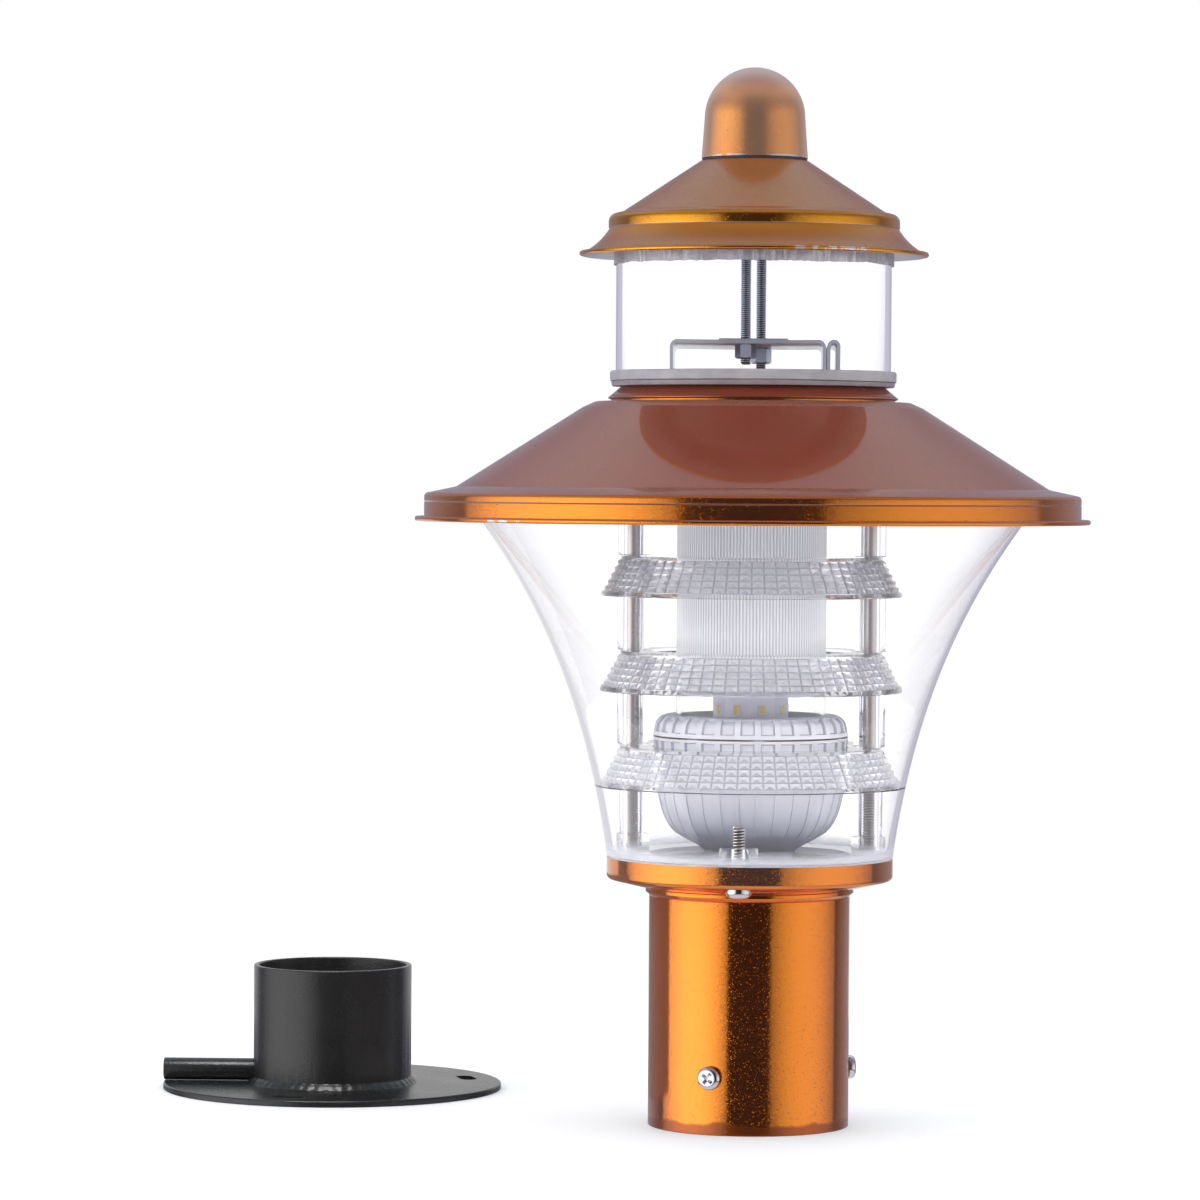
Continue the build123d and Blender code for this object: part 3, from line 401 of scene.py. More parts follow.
def copper(name, haze, bloom=0.5, roughness=0.10, chips=None, darker_foot=None, painted_up_shade=None, shine=1.0):
    """Candy copper: a tinted clear coat over bright flakes.

    Haze is a pale bloom, and bloom spreads it from the edges only (0) to all over (1).
    Chips lie in a (low, high, left, right) window on Z and X. The darker foot (low, high) gives a ragged
    band that turns darker and rougher below these heights.
    The up shade is a painted shade: faces that look up get its darker, duller colour and less metal. Shine
    is the clear coat's weight.
    """
    paint = Paint(name)
    flake_size = 0.26 * MM
    flakes = paint.node("TexVoronoi", {}, {"Vector": paint.place(), "Scale": 1 / flake_size}, "Color")
    glint = paint.parts(flakes)[1].ease(0.84, 1.0)
    tilt = paint.node("VectorMath", {"operation": "SUBTRACT"}, {0: flakes, 1: (0.5, 0.5, 0.5)})
    tilt = paint.node("VectorMath", {"operation": "SCALE"}, {0: tilt, "Scale": 0.035 + 0.42 * glint})
    facing = paint.node("NewGeometry", output="Normal")
    normal = paint.node("VectorMath", {"operation": "ADD"}, {0: facing, 1: tilt})
    normal = paint.node("VectorMath", {"operation": "NORMALIZE"}, {0: normal})
    normal = paint.bump(paint.noise(2.4 * MM, detail=1.0), 0.01 * MM, 0.15, normal)
    cloud = paint.noise(24 * MM, detail=3.0)
    colour = paint.mix(cloud, rgb(0.84, 0.39, 0.028), rgb(0.92, 0.45, 0.036))
    rough = roughness + 0.04 * cloud
    metallic = 1.0
    coat = shine
    # painted shade: faces that look up get a darker, duller, less metallic colour
    if painted_up_shade:
        upward = paint.parts(facing)[2].ease(0.25, 0.75)
        light_up_shade = rgb(*[1.25 * part for part in painted_up_shade])
        up_shaded = paint.mix(cloud, rgb(*painted_up_shade), light_up_shade)
        colour = paint.mix(upward, colour, up_shaded)
        metallic = 1 - 0.75 * upward
    # a ragged darker, rougher band towards the foot
    if darker_foot:
        height = paint.axes()[2]
        ragged = height + (paint.noise(16 * MM, detail=4.0) - 0.5) * 7.0 * MM
        shade = 1 - ragged.ease(*darker_foot)
        colour = paint.mix(shade * 0.75, colour, rgb(0.30, 0.07, 0.01))
        rough = rough + shade * 0.2
    if chips:
        low, high, left, right = chips
        side, depth, height = paint.axes()
        window = (height > low) * (height < high) * (side > left) * (side < right) * (depth < 0)
        flaked = paint.noise(2.6 * MM, detail=5.0, roughness=0.7) + (paint.noise(9 * MM) - 0.5) * 0.8
        chip = window * (flaked > 0.50)
        colour = paint.mix(chip, colour, BARE_METAL)
        coat = shine * (1 - chip)
    return paint.done(
        paint.principled(
            base_color=colour,
            metallic=metallic,
            roughness=rough,
            normal=normal,
            coat_weight=coat,
            coat_roughness=0.04,
            coat_ior=1.4,
            coat_tint=rgb(0.98, 0.60, 0.30),
            sheen_weight=haze,
            sheen_roughness=bloom,
        )
    )


def bare_metal(name, colour, shade, roughness, grain=(1, 1, 6)):
    """Plated or bare metal: fine drawn grain, a little cloudiness and painted shade in the thread roots.
    """
    paint = Paint(name)
    drawn = paint.noise(0.5 * MM, detail=3.0, stretch=grain)
    cloud = paint.noise(9 * MM, detail=3.0)
    tint = paint.mix(cloud * 0.7 + drawn * 0.3, rgb(*shade), rgb(*colour))
    # painted shade: vertices marked as valleys, the roots of threads, turn near black
    root_shade = paint.node("Attribute", {"attribute_name": "valley"}, output="Fac").ease(0.25, 0.75)
    tint = paint.mix(root_shade * 0.8, tint, rgb(0.02, 0.02, 0.025))
    normal = paint.bump(drawn, 0.01 * MM, 0.4)
    return paint.done(
        paint.principled(
            base_color=tint, metallic=1.0, roughness=roughness + 0.16 * (cloud - 0.5), normal=normal
        )
    )


def clear(name, tint, roughness, ior, milk=0.0, mist=None):
    """Clear moulding with a share of milkiness.

    Mist is the (low, high) band on Z over which a misty foot clears.
    """
    paint = Paint(name)
    cloud = paint.noise(14 * MM)
    blur = roughness + 0.004 * cloud
    share = milk * (0.7 + 0.6 * cloud)
    if mist:
        misty = 1 - paint.axes()[2].ease(*mist)
        blur = blur + misty * 0.3
        share = share + misty * 0.70
    colour = paint.mix(paint.noise(40 * MM), rgb(*tint), rgb(1.0, 1.0, 1.0))
    glassy = paint.principled(base_color=colour, roughness=blur, ior=ior, transmission_weight=1.0)
    if not milk and not mist:
        return paint.done(glassy)
    milky = paint.principled(base_color=rgb(0.90, 0.91, 0.98), roughness=0.3)
    return paint.done(paint.node("MixShader", {}, {0: share, 1: glassy, 2: milky}))


def prismatic():
    """Faces of the rings' pyramids: painted shade makes them pale above, grey below, with dark lines in
    the valleys.
    """
    paint = Paint("prism_facets")
    cloud = paint.noise(14 * MM)
    upward = paint.parts(paint.node("NewGeometry", output="True Normal"))[2].ease(0.10, 0.75)
    line = paint.node("Attribute", {"attribute_name": "valley"}, output="Fac").ease(0.74, 0.94)
    # painted shade: pale where the faces look up, grey where they look down
    tint = paint.mix(upward, rgb(0.44, 0.44, 0.49), rgb(0.97, 0.98, 1.0))
    # painted shade: dark lines in the valleys between the pyramids, which are also milkier
    tint = paint.mix(line * 0.85, tint, rgb(0.20, 0.20, 0.24))
    milky = paint.principled(base_color=tint, roughness=0.2 + 0.1 * cloud)
    glassy = paint.principled(
        base_color=rgb(0.99, 0.99, 1.0), roughness=0.02 + 0.01 * cloud, ior=1.49, transmission_weight=1.0
    )
    return paint.done(paint.node("MixShader", {}, {0: 0.46 + 0.20 * line, 1: glassy, 2: milky}))


def fluted_cover(foot):
    """Cover of the bulb: clear at its foot, milky where the flutes begin, with painted shade darker
    between them and a faint painted glow.
    """
    paint = Paint("fluted_cover")
    cloud = paint.noise(20 * MM)
    x, y, z = paint.axes()
    turn = y.sum("ARCTAN2", y, x) * FLUTES
    ridge_line = turn.sum("COSINE", turn).ease(-0.7, 0.5)
    tint = paint.mix(cloud, rgb(0.93, 0.93, 0.96), rgb(0.98, 0.98, 1.0))
    fluted = z.ease(foot - 1.5 * MM, foot + 0.5 * MM)
    # painted shade: darker between the flutes
    tint = paint.mix(fluted * (1 - ridge_line), tint, rgb(0.58, 0.58, 0.64))
    glassy = paint.principled(
        base_color=tint, roughness=0.02 + 0.08 * fluted, transmission_weight=1.0, ior=1.46
    )
    milky = paint.principled(
        base_color=tint,
        roughness=0.35 + 0.1 * cloud,
        subsurface_weight=0.7,
        subsurface_radius=(3 * MM, 3 * MM, 3 * MM),
        subsurface_scale=1.0,
        # painted glow: the milky part glows faintly, standing in for light that comes through the cover
        emission_color=tint,
        emission_strength=0.16,
    )
    return paint.done(paint.node("MixShader", {}, {0: 0.02 + 0.68 * fluted, 1: glassy, 2: milky}))


def moulded(name, colour, shade, roughness, grain=0.6 * MM, subsurface=0.0, seam=None, painted_shade_below=None):
    """Opaque moulded plastic or rubber with a fine grain.

    A seam is a (low, high) glue line on Z.
    The shade below is the (low, high) band on Z over which a painted shade, greyer towards the foot, ends.
    """
    paint = Paint(name)
    cloud = paint.noise(18 * MM, detail=4.0)
    fine = paint.noise(grain, detail=2.0)
    tint = paint.mix(cloud, rgb(*shade), rgb(*colour))
    height = paint.axes()[2]
    # painted shade: greyer and bluer towards the foot
    if painted_shade_below:
        tint = paint.mix(0.9 - 0.9 * height.ease(*painted_shade_below), tint, rgb(0.25, 0.26, 0.31))
    if seam:
        line = (height > seam[0]) * (height < seam[1])
        glue = line * paint.noise(9 * MM, detail=3.0).ease(0.3, 0.5)
        tint = paint.mix(glue, tint, rgb(0.20, 0.11, 0.07))
    normal = paint.bump(fine, 0.02 * MM, 0.5)
    return paint.done(
        paint.principled(
            base_color=tint,
            roughness=roughness + 0.12 * (fine - 0.5),
            normal=normal,
            subsurface_weight=subsurface,
            subsurface_radius=(1.0 * MM, 1.0 * MM, 1.2 * MM),
            subsurface_scale=1.0,
        )
    )


def translucent_strip(name, colour, shade, clear_share, streak=(1, 1, 0.06), under_lip_shade=None):
    """Soft plastic strip with streaks, part clear and part milky, with painted shade below a height if
    given.
    """
    paint = Paint(name)
    streaks = paint.noise(1.3 * MM, detail=3.0, stretch=streak).ease(0.3, 0.7)
    cloud = paint.noise(12 * MM, detail=3.0).ease(0.3, 0.7)
    tint = paint.mix(streaks * 0.6 + cloud * 0.4, rgb(*shade), rgb(*colour))
    # painted shade: darker below the height, under the lip
    if under_lip_shade:
        lower = 1 - paint.axes()[2].ease(under_lip_shade - 0.15 * MM, under_lip_shade + 0.15 * MM)
        tint = paint.mix(lower * 0.6, tint, rgb(0.23, 0.18, 0.20))
    normal = paint.bump(streaks, 0.03 * MM, 0.4)
    milky = paint.principled(base_color=tint, roughness=0.3 + 0.15 * streaks, normal=normal)
    glassy = paint.principled(
        base_color=tint, roughness=0.14 + 0.12 * cloud, transmission_weight=1.0, ior=1.4, normal=normal
    )
    share = clear_share + 0.25 * (streaks - 0.5)
    return paint.done(paint.node("MixShader", {}, {0: share, 1: milky, 2: glassy}))


def black_lacquer():
    """Textured black powder coat."""
    paint = Paint("textured_black")
    orange_peel = paint.noise(0.9 * MM, detail=3.0)
    cloud = paint.noise(22 * MM, detail=4.0)
    # small lighter specks mixed into the colour
    light_specks = paint.noise(0.35 * MM, detail=2.0).ease(0.62, 0.75)
    tint = paint.mix(cloud, rgb(0.007, 0.007, 0.007), rgb(0.018, 0.018, 0.018))
    tint = paint.mix(light_specks * 0.25, tint, rgb(0.11, 0.11, 0.11))
    normal = paint.bump(orange_peel, 0.12 * MM, 0.7)
    return paint.done(paint.principled(base_color=tint, roughness=0.20 + 0.14 * cloud, normal=normal))


def phosphor():
    """Yellow phosphor of the LED chips."""
    paint = Paint("led_phosphor")
    grain = paint.noise(0.3 * MM, detail=2.0)
    tint = paint.mix(grain, rgb(0.86, 0.62, 0.10), rgb(0.95, 0.76, 0.20))
    normal = paint.bump(grain, 0.02 * MM, 0.5)
    return paint.done(paint.principled(base_color=tint, roughness=0.35 + 0.1 * grain, normal=normal))


def circuit_board():
    """Green driver board with darker parts."""
    paint = Paint("driver_board_green")
    cloud = paint.noise(6 * MM, detail=2.0)
    tint = paint.mix(cloud, rgb(0.02, 0.10, 0.04), rgb(0.05, 0.20, 0.08))
    return paint.done(paint.principled(base_color=tint, roughness=0.4 + 0.1 * cloud))


ROOF_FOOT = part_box("main_roof")[0].z
CAP_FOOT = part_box("top_cap")[0].z
DOME_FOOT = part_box("finial_dome")[0].z
BULB_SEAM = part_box("bulb_collar")[0].z
COPPER_TUBE = copper("copper_tube", 0.20, darker_foot=(3.2 * MM, 4.6 * MM))
COPPER = copper("copper_flange", 0.07, 0.95)
ROOF_CHIPS = (ROOF_FOOT - MM, ROOF_FOOT + 1.2 * MM, -96 * MM, -84 * MM)
CAP_CHIPS = (CAP_FOOT - MM, CAP_FOOT + 1.5 * MM, 15 * MM, 42 * MM)
DOME_CHIPS = (DOME_FOOT - MM, DOME_FOOT + 0.7 * MM, -20 * MM, 20 * MM)
# roof, cap and dome get a painted shade on the faces that look up
COPPER_ROOF = copper(
    "copper_roof", 0.06, 0.7, roughness=0.12, chips=ROOF_CHIPS, painted_up_shade=(0.193, 0.045, 0.0165), shine=0.9
)
COPPER_CAP = copper(
    "copper_cap", 0.025, 0.8, roughness=0.16, chips=CAP_CHIPS, painted_up_shade=(0.242, 0.090, 0.013), shine=0.32
)
COPPER_DOME = copper(
    "copper_dome", 0.32, 0.9, roughness=0.24, chips=DOME_CHIPS, painted_up_shade=(0.21, 0.082, 0.047), shine=0.7
)
LINING = bare_metal("bright_lining", (0.80, 0.80, 0.84), (0.70, 0.70, 0.75), 0.35, grain=(1, 1, 1))
UNPAINTED = bare_metal("unpainted_sheet", (0.72, 0.72, 0.77), (0.58, 0.58, 0.64), 0.42, grain=(1, 1, 1))
ZINC = bare_metal("zinc_plate", (0.60, 0.65, 0.74), (0.42, 0.47, 0.57), 0.30)
ROD_STEEL = bare_metal("drawn_steel", (0.54, 0.51, 0.50), (0.38, 0.35, 0.34), 0.26, grain=(1, 1, 0.05))
THREAD_STEEL = bare_metal("thread_steel", (0.80, 0.78, 0.75), (0.66, 0.64, 0.61), 0.24)
CHROME = bare_metal("chrome_plate", (0.82, 0.82, 0.84), (0.66, 0.66, 0.70), 0.14)
BRASS = bare_metal("bare_brass", (0.78, 0.56, 0.24), (0.60, 0.40, 0.15), 0.28)
NICKEL = bare_metal("nickel_shell", (0.70, 0.69, 0.66), (0.56, 0.55, 0.53), 0.24)
BOWL_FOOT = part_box("bowl")[0].z
FLUTE_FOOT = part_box("bulb_diffuser")[0].z + 24 * MM
BOWL_MIST = (BOWL_FOOT + 1 * MM, BOWL_FOOT + 8 * MM)
BOWL_CLEAR = clear("bowl_clear", (0.99, 0.99, 1.0), 0.0, 1.45, mist=BOWL_MIST)
PRISM_FACETS = prismatic()
PRISM_CLEAR = clear("prism_clear", (0.99, 0.99, 1.0), 0.01, 1.49, milk=0.03)
SPACER_CLEAR = clear("spacer_clear", (0.99, 0.99, 1.0), 0.01, 1.47)
LANTERN_GLASS = clear("lantern_glass", (0.97, 0.97, 0.98), 0.0, 1.5)
DIFFUSER = fluted_cover(FLUTE_FOOT)
BULB_WHITE = moulded(
    "bulb_white",
    (0.66, 0.66, 0.70),
    (0.60, 0.60, 0.65),
    0.32,
    subsurface=0.15,
    seam=(BULB_SEAM - 0.3 * MM, BULB_SEAM + 0.35 * MM),
    # painted shade on the lower belly
    painted_shade_below=(BULB_SEAM - 40 * MM, BULB_SEAM - 8 * MM),
)
# painted shade: the pockets' walls get this greyer material
BULB_POCKET_SHADE = moulded("bulb_pocket_shade", (0.42, 0.43, 0.49), (0.35, 0.36, 0.42), 0.4)
CORE_GREY = moulded("core_lacquer", (0.84, 0.84, 0.92), (0.76, 0.76, 0.84), 0.4)
CHIP_WHITE = moulded("chip_white", (0.85, 0.84, 0.80), (0.75, 0.74, 0.70), 0.4)
PHOSPHOR = phosphor()
DRIVER = circuit_board()
HOLDER_WHITE = moulded("holder_white", (0.78, 0.77, 0.72), (0.68, 0.67, 0.62), 0.35)
LANTERN_STRIP = translucent_strip("lantern_strip", (0.92, 0.90, 0.95), (0.36, 0.32, 0.34), 0.66)
CHANNEL_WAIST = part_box("lower_gasket")[0].z + 1.9 * MM
# the channel's lower band, under its lip, gets a painted shade
CHANNEL_STRIP = translucent_strip(
    "channel_strip", (0.52, 0.50, 0.53), (0.30, 0.29, 0.32), 0.22, (0.3, 0.3, 0.6), CHANNEL_WAIST
)
SEAT_STRIP = translucent_strip("seat_strip", (0.62, 0.63, 0.68), (0.42, 0.43, 0.48), 0.5)
NAVY_RUBBER = moulded("navy_rubber", (0.040, 0.040, 0.080), (0.023, 0.023, 0.046), 0.45)
PAN_WHITE = moulded("pan_lacquer", (0.70, 0.70, 0.74), (0.62, 0.62, 0.66), 0.4)
BLACK = black_lacquer()


def finish_nodes(names, material):
    """Gives CAD nodes that stay a better material."""
    for name in names:
        NODES[name].data.materials.clear()
        NODES[name].data.materials.append(material)


finish_nodes(["lamp_holder", "holder_ring"], HOLDER_WHITE)
finish_nodes(["holder_shell", "holder_contact", "bulb_tip"], BRASS)
finish_nodes(["holder_strap", "strap_screws", "bracket_rivets"], ZINC)
finish_nodes(["bulb_cap"], NICKEL)
finish_nodes(["bulb_driver"], DRIVER)
finish_nodes(["led_core"], CORE_GREY)
finish_nodes(["bowl_rim_seal"], SEAT_STRIP)


# Fasteners


def cross(reach, width, depth, top):
    """Tapered cross that cuts a screw's recess."""
    bm = bmesh.new()
    bmesh.ops.create_cube(bm, size=1.0)
    bmesh.ops.scale(bm, vec=(width, width, depth), verts=bm.verts)
    for way in (Vector((1, 0, 0)), Vector((-1, 0, 0)), Vector((0, 1, 0)), Vector((0, -1, 0))):
        side = max(
            bm.faces, key=lambda face: face.normal.dot(way) + 10 * face.calc_center_median().dot(way)
        )
        arm = bmesh.ops.extrude_discrete_faces(bm, faces=[side])["faces"]
        bmesh.ops.translate(bm, vec=way * (reach - width) / 2, verts=arm[0].verts)
    low = [vert for vert in bm.verts if vert.co.z < 0]
    bmesh.ops.scale(bm, vec=(0.45, 0.45, 1), verts=low)
    bmesh.ops.translate(bm, vec=(0, 0, top - depth / 2), verts=bm.verts)
    bmesh.ops.recalc_face_normals(bm, faces=bm.faces)
    return bm


def pan_screw(thread_r, pitch, head_r, head_height, length):
    """Cross-recess pan head screw along Z, with its seat at the origin and its head above."""
    core = thread_r - 0.55 * pitch
    point = 0.8 * pitch
    outline = rounded(
        [
            (0, -length, 0),
            (core - point / 2, -length, 0),
            (core, -length + point, 0),
            (core, 0, 0),
            (head_r, 0, 0.25 * MM),
            (head_r, head_height, 0.62 * head_height),
            (0.35 * head_r, head_height, 0),
            (0, head_height, 0),
        ]
    )
    bm = lathe(outline, 48)
    recess = cross(1.1 * head_r, 0.30 * head_r, 0.62 * head_height, head_height + 0.05 * MM)
    bm = combine(bm, recess, "DIFFERENCE")
    add(bm, ridge(thread_r, pitch, -length, pitch))
    mark_roots(bm, thread_r - 0.3 * pitch, -length + 0.1 * MM, 0)
    return bm


def hex_nut(flats, thread_r, height, chamfer=0.45 * MM):
    """Hexagon nut along Z that stands on the origin, with two flats square to X."""
    corner = flats / sqrt(3)
    bm = rods([(0, 0)], corner, 0, height, steps=6)
    bmesh.ops.rotate(bm, verts=bm.verts, cent=(0, 0, 0), matrix=Matrix.Rotation(radians(30), 3, "Z"))
    flat = flats / 2 - 0.1 * MM
    reach = corner + chamfer
    drop = (reach - flat) * tan(radians(30))
    blank = [(0, 0), (flat, 0), (reach, drop), (reach, height - drop), (flat, height), (0, height)]
    bm = combine(bm, lathe(blank, 72), "INTERSECT")
    return combine(bm, rods([(0, 0)], thread_r, -chamfer, height + chamfer), "DIFFERENCE")


def set_along(place, way):
    """Matrix that puts a shape's origin at a place and its axis Z along a way."""
    return Matrix.Translation(place) @ Vector(way).to_track_quat("Z", "Y").to_matrix().to_4x4()


CLAMP_SCREWS = ("clamp_screw_1", "clamp_screw_2", "clamp_screw_3")
CLAMP_HEAD = 2.8 * MM
FLANGE_SCREWS = ("flange_screw_front", "flange_screw_back")
FLANGE_HEAD = 4.0 * MM


def way_out(node):
    """Level way from the lamp's axis to a CAD node."""
    at = middle(node)
    return Vector((at.x, at.y, 0)).normalized()


def flange_places():
    """Middles of the two flange screws in plan."""
    return [middle(node).xy for node in FLANGE_SCREWS]


def rod_places():
    """Middles of the two tie rods in plan."""
    return [middle(f"tie_rod_{side}").xy for side in ("left", "right")]


def clamp_screws():
    """Three screws near the foot of the tube, along its radius."""
    for number, node in enumerate(CLAMP_SCREWS, 1):
        way = way_out(node)
        reach = [vert.co.dot(way) for vert in NODES[node].data.vertices]
        length = max(reach) - min(reach) - CLAMP_HEAD
        seat = way * (max(reach) - CLAMP_HEAD) + Vector((0, 0, middle(node).z))
        bm = pan_screw(
            THICK_THREAD, pitch=0.8 * MM, head_r=4.5 * MM, head_height=CLAMP_HEAD, length=length
        )
        turn = Matrix.Rotation(radians(20 + 33 * number), 4, "Z")
        piece(f"{node}_detailed", bm, [CHROME], [node], set_along(seat, way) @ turn)


def flange_screws():
    """Two screws that go up through the flange into the bowl's bosses."""
    for node in FLANGE_SCREWS:
        low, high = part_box(node)
        at = middle(node)
        seat = Vector((at.x, at.y, low.z + FLANGE_HEAD))
        bm = pan_screw(
            THICK_THREAD, pitch=1.1 * MM, head_r=4.9 * MM, head_height=FLANGE_HEAD, length=high.z - seat.z
        )
        second_finish(bm, lambda face, at: at.z < 0)
        place = set_along(seat, (0, 0, -1)) @ Matrix.Rotation(radians(28), 4, "Z")
        piece(f"{node}_detailed", bm, [CHROME, THREAD_STEEL], [node], place)


CAP_SCREWS_AT = [(-2.9 * MM, -9.6 * MM), (2.9 * MM, 9.6 * MM)]
CAP_HEAD = 2.6 * MM


def cap_screws():
    """Two long screws from the cap down to the bridge bracket."""
    low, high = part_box("cap_screws")
    seat = high.z - CAP_HEAD
    bm = bmesh.new()
    for x, y in CAP_SCREWS_AT:
        screw = pan_screw(
            THIN_THREAD, pitch=0.7 * MM, head_r=4.0 * MM, head_height=CAP_HEAD, length=seat - low.z
        )
        add(bm, screw, Matrix.Translation((x, y, seat)))
    piece("cap_screws_threaded", bm, [ZINC], ["cap_screws"])


THICK_NUT = (8 * MM, THICK_THREAD, 4.0 * MM)  # across flats, thread radius, height
THIN_NUT = (7 * MM, THIN_THREAD, 4.7 * MM)


def nuts(node, sizes, places):
    """Chamfered nuts for a node, at (matrix) places."""
    bm = bmesh.new()
    for place in places:
        add(bm, hex_nut(*sizes), place)
    piece(f"{node}_chamfered", bm, [ZINC], [node])


def all_nuts():
    """Nuts under the bracket, on the tie rods and inside the tube."""
    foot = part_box("cap_screw_nuts")[0].z
    nuts("cap_screw_nuts", THIN_NUT, [Matrix.Translation((x, y, foot)) for x, y in CAP_SCREWS_AT])
    turn = Matrix.Rotation(ROD_TURN, 4, "Z")
    for node in ("rod_top_nuts", "rod_bottom_nuts"):
        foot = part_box(node)[0].z
        nuts(node, THICK_NUT, [Matrix.Translation((x, y, foot)) @ turn for x, y in rod_places()])
    flats, _, height = THICK_NUT
    tube_bore = TUBE_R - TUBE_WALL
    face = sqrt(tube_bore**2 - (flats / sqrt(3)) ** 2) - 0.2 * MM
    places = []
    for node in CLAMP_SCREWS:
        way = way_out(node)
        places.append(set_along(way * (face - height) + Vector((0, 0, middle(node).z)), way))
    nuts("clamp_nuts", THICK_NUT, places)


# Pole

LIP_REACH = 1.4 * MM
FLANGE_LAP = 2.3 * MM  # how far the flange's rim laps the bowl's foot
TUBE_WALL = 1.2 * MM
TUBE_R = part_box("pole_tube")[1].x - LIP_REACH


def pole_tube():
    """Tube with a flared top edge, a fine seam under it and a hole for each clamp screw."""
    lip_r, foot, head = span("pole_tube")
    bore = TUBE_R - TUBE_WALL
    seam = head - 2.9 * MM
    cut = 0.22 * MM
    outline = rounded(
        [
            (bore, foot, 0.3 * MM),
            (TUBE_R, foot, 0.4 * MM),
            (TUBE_R, seam - cut, 0),
            (TUBE_R - cut, seam, 0),
            (TUBE_R + cut / 2, seam + cut, 0.2 * MM),
            (lip_r, head - 1.5 * MM, 0.4 * MM),
            (lip_r, head, 0.3 * MM),
            (bore, head, 0),
        ]
    )
    bm = lathe(outline, 192, closed=True)
    holes = bmesh.new()
    for node in CLAMP_SCREWS:
        hole = rods([(0, 0)], THREAD_HOLE, TUBE_R - 4 * MM, TUBE_R + 4 * MM)
        add(holes, hole, set_along((0, 0, middle(node).z), way_out(node)))
    bm = combine(bm, holes, "DIFFERENCE")
    second_finish(bm, looks_in)
    piece("pole_tube_spun", bm, [COPPER_TUBE, UNPAINTED], ["pole_tube"])


def pole_flange():
    """Pan on the tube: conical floor, upright rim and a pressed seat for each screw head."""
    rim_r, foot, head = span("pole_flange")
    ledge_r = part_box("pole_tube")[1].x
    hole_r = TUBE_R - TUBE_WALL - 5.8 * MM
    rise = 3.5 * MM
    outline = rounded(
        [
            (hole_r, foot, 0),
            (ledge_r, foot, 0.6 * MM),
            (rim_r, foot + rise, 1.8 * MM),
            (rim_r, head + FLANGE_LAP, 0),
        ],
        steps=8,
    )
    bm = spun_sheet(outline, SHEET)
    seats = flange_places()
    seat_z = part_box("flange_screw_front")[0].z + FLANGE_HEAD + 0.2 * MM
    seat_r = 5.5 * MM
    inside = foot + 0.3 * MM
    pan = lathe([(0, inside), (ledge_r, inside), (rim_r, inside + rise), (rim_r, head), (0, head)], 192)
    cups = combine(rods(seats, seat_r + SHEET, foot, seat_z + SHEET, 48), pan, "INTERSECT")
    bm = combine(bm, cups, "UNION")
    bm = combine(bm, rods(seats, seat_r, foot - SHEET, seat_z, 48), "DIFFERENCE")
    bm = combine(bm, rods(seats, THREAD_HOLE, foot, head), "DIFFERENCE")
    second_finish(bm, lambda face, at: face.normal.z > 0.3 or looks_in(face, at))
    piece("pole_flange_pressed", bm, [COPPER, PAN_WHITE], ["pole_flange"])


def seat_gasket():
    """Soft ring under the bowl, inside the flange's rim."""
    rim_r, foot, head = span("bowl_seat_gasket")
    bore = min(vert.co.xy.length for vert in NODES["bowl_seat_gasket"].data.vertices)
    outer = rim_r - SHEET - 0.2 * MM
    bm = lathe(eased_ring(bore, outer, foot, head, 0.2 * MM), 160, closed=True)
    bm = combine(bm, rods(flange_places(), THREAD_HOLE, foot - MM, head + MM), "DIFFERENCE")
    piece("bowl_seat_gasket_ring", bm, [SEAT_STRIP], ["bowl_seat_gasket"])


# Head: bowl, louvre rings, spacers and tie rods

BOWL_WALL = 1.4 * MM
BOWL_FLOOR = 2.5 * MM
RIM_HEIGHT = 1.6 * MM
ROD_BOSS_R, ROD_BOSS_HEIGHT = 6.5 * MM, 9.5 * MM
SCREW_BOSS_R, SCREW_BOSS_HEIGHT = 7.1 * MM, 8.3 * MM


def bowl():
    """Clear trumpet bowl with a flat rim, and bosses for the rods and the flange screws."""
    rim_r, foot, head = span("bowl")
    foot_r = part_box("pole_flange")[1].x
    mouth_r = rim_r - 8 * MM
    under = head - RIM_HEIGHT
    rise = under - foot
    low = (foot_r + 6.3 * MM, foot + rise / 3)
    high = (foot_r + 18.7 * MM, foot + rise * 2 / 3)
    wall = Vector((BOWL_WALL, 0))
    seat_r = foot_r - SHEET - 0.1 * MM
    outer = curve((foot_r, foot + FLANGE_LAP), low, high, (mouth_r, under), 40)
    inner = curve(
        Vector((mouth_r, under)) - wall,
        Vector(high) - wall,
        Vector(low) - wall,
        (seat_r - BOWL_WALL, foot + BOWL_FLOOR),
        40,
    )
    ease = 0.6 * MM
    step = foot + FLANGE_LAP - 0.4 * MM
    outline = (
        rounded([(seat_r - ease, foot, 0), (seat_r, foot + ease, 0), (seat_r, step, 0)])
        + outer
        + rounded([(rim_r, under, 0), (rim_r, head, 0), (mouth_r - BOWL_WALL, head, 0)])
        + inner
        + rounded([(LAMP_HOLE, foot + BOWL_FLOOR, 0), (LAMP_HOLE, foot, 0)])
    )
    bm = lathe(outline, 192, closed=True)
    below, above = foot - MM, foot + 11 * MM
    boss_foot = foot + 0.3 * MM
    tight_hole = THICK_THREAD + 0.05 * MM
    bm = combine(bm, rods(rod_places(), ROD_BOSS_R, boss_foot, foot + ROD_BOSS_HEIGHT, 48), "UNION")
    bm = combine(bm, rods(flange_places(), SCREW_BOSS_R, boss_foot, foot + SCREW_BOSS_HEIGHT, 48), "UNION")
    bm = combine(bm, rods(rod_places(), THREAD_HOLE, below, above), "DIFFERENCE")
    bm = combine(bm, rods(flange_places(), tight_hole, below, above), "DIFFERENCE")
    bm = combine(bm, rods([(0, 0)], LAMP_HOLE, below, above, 192), "DIFFERENCE")
    made = piece("bowl_clear", bm, [BOWL_CLEAR], ["bowl"])
    made.visible_glossy = False


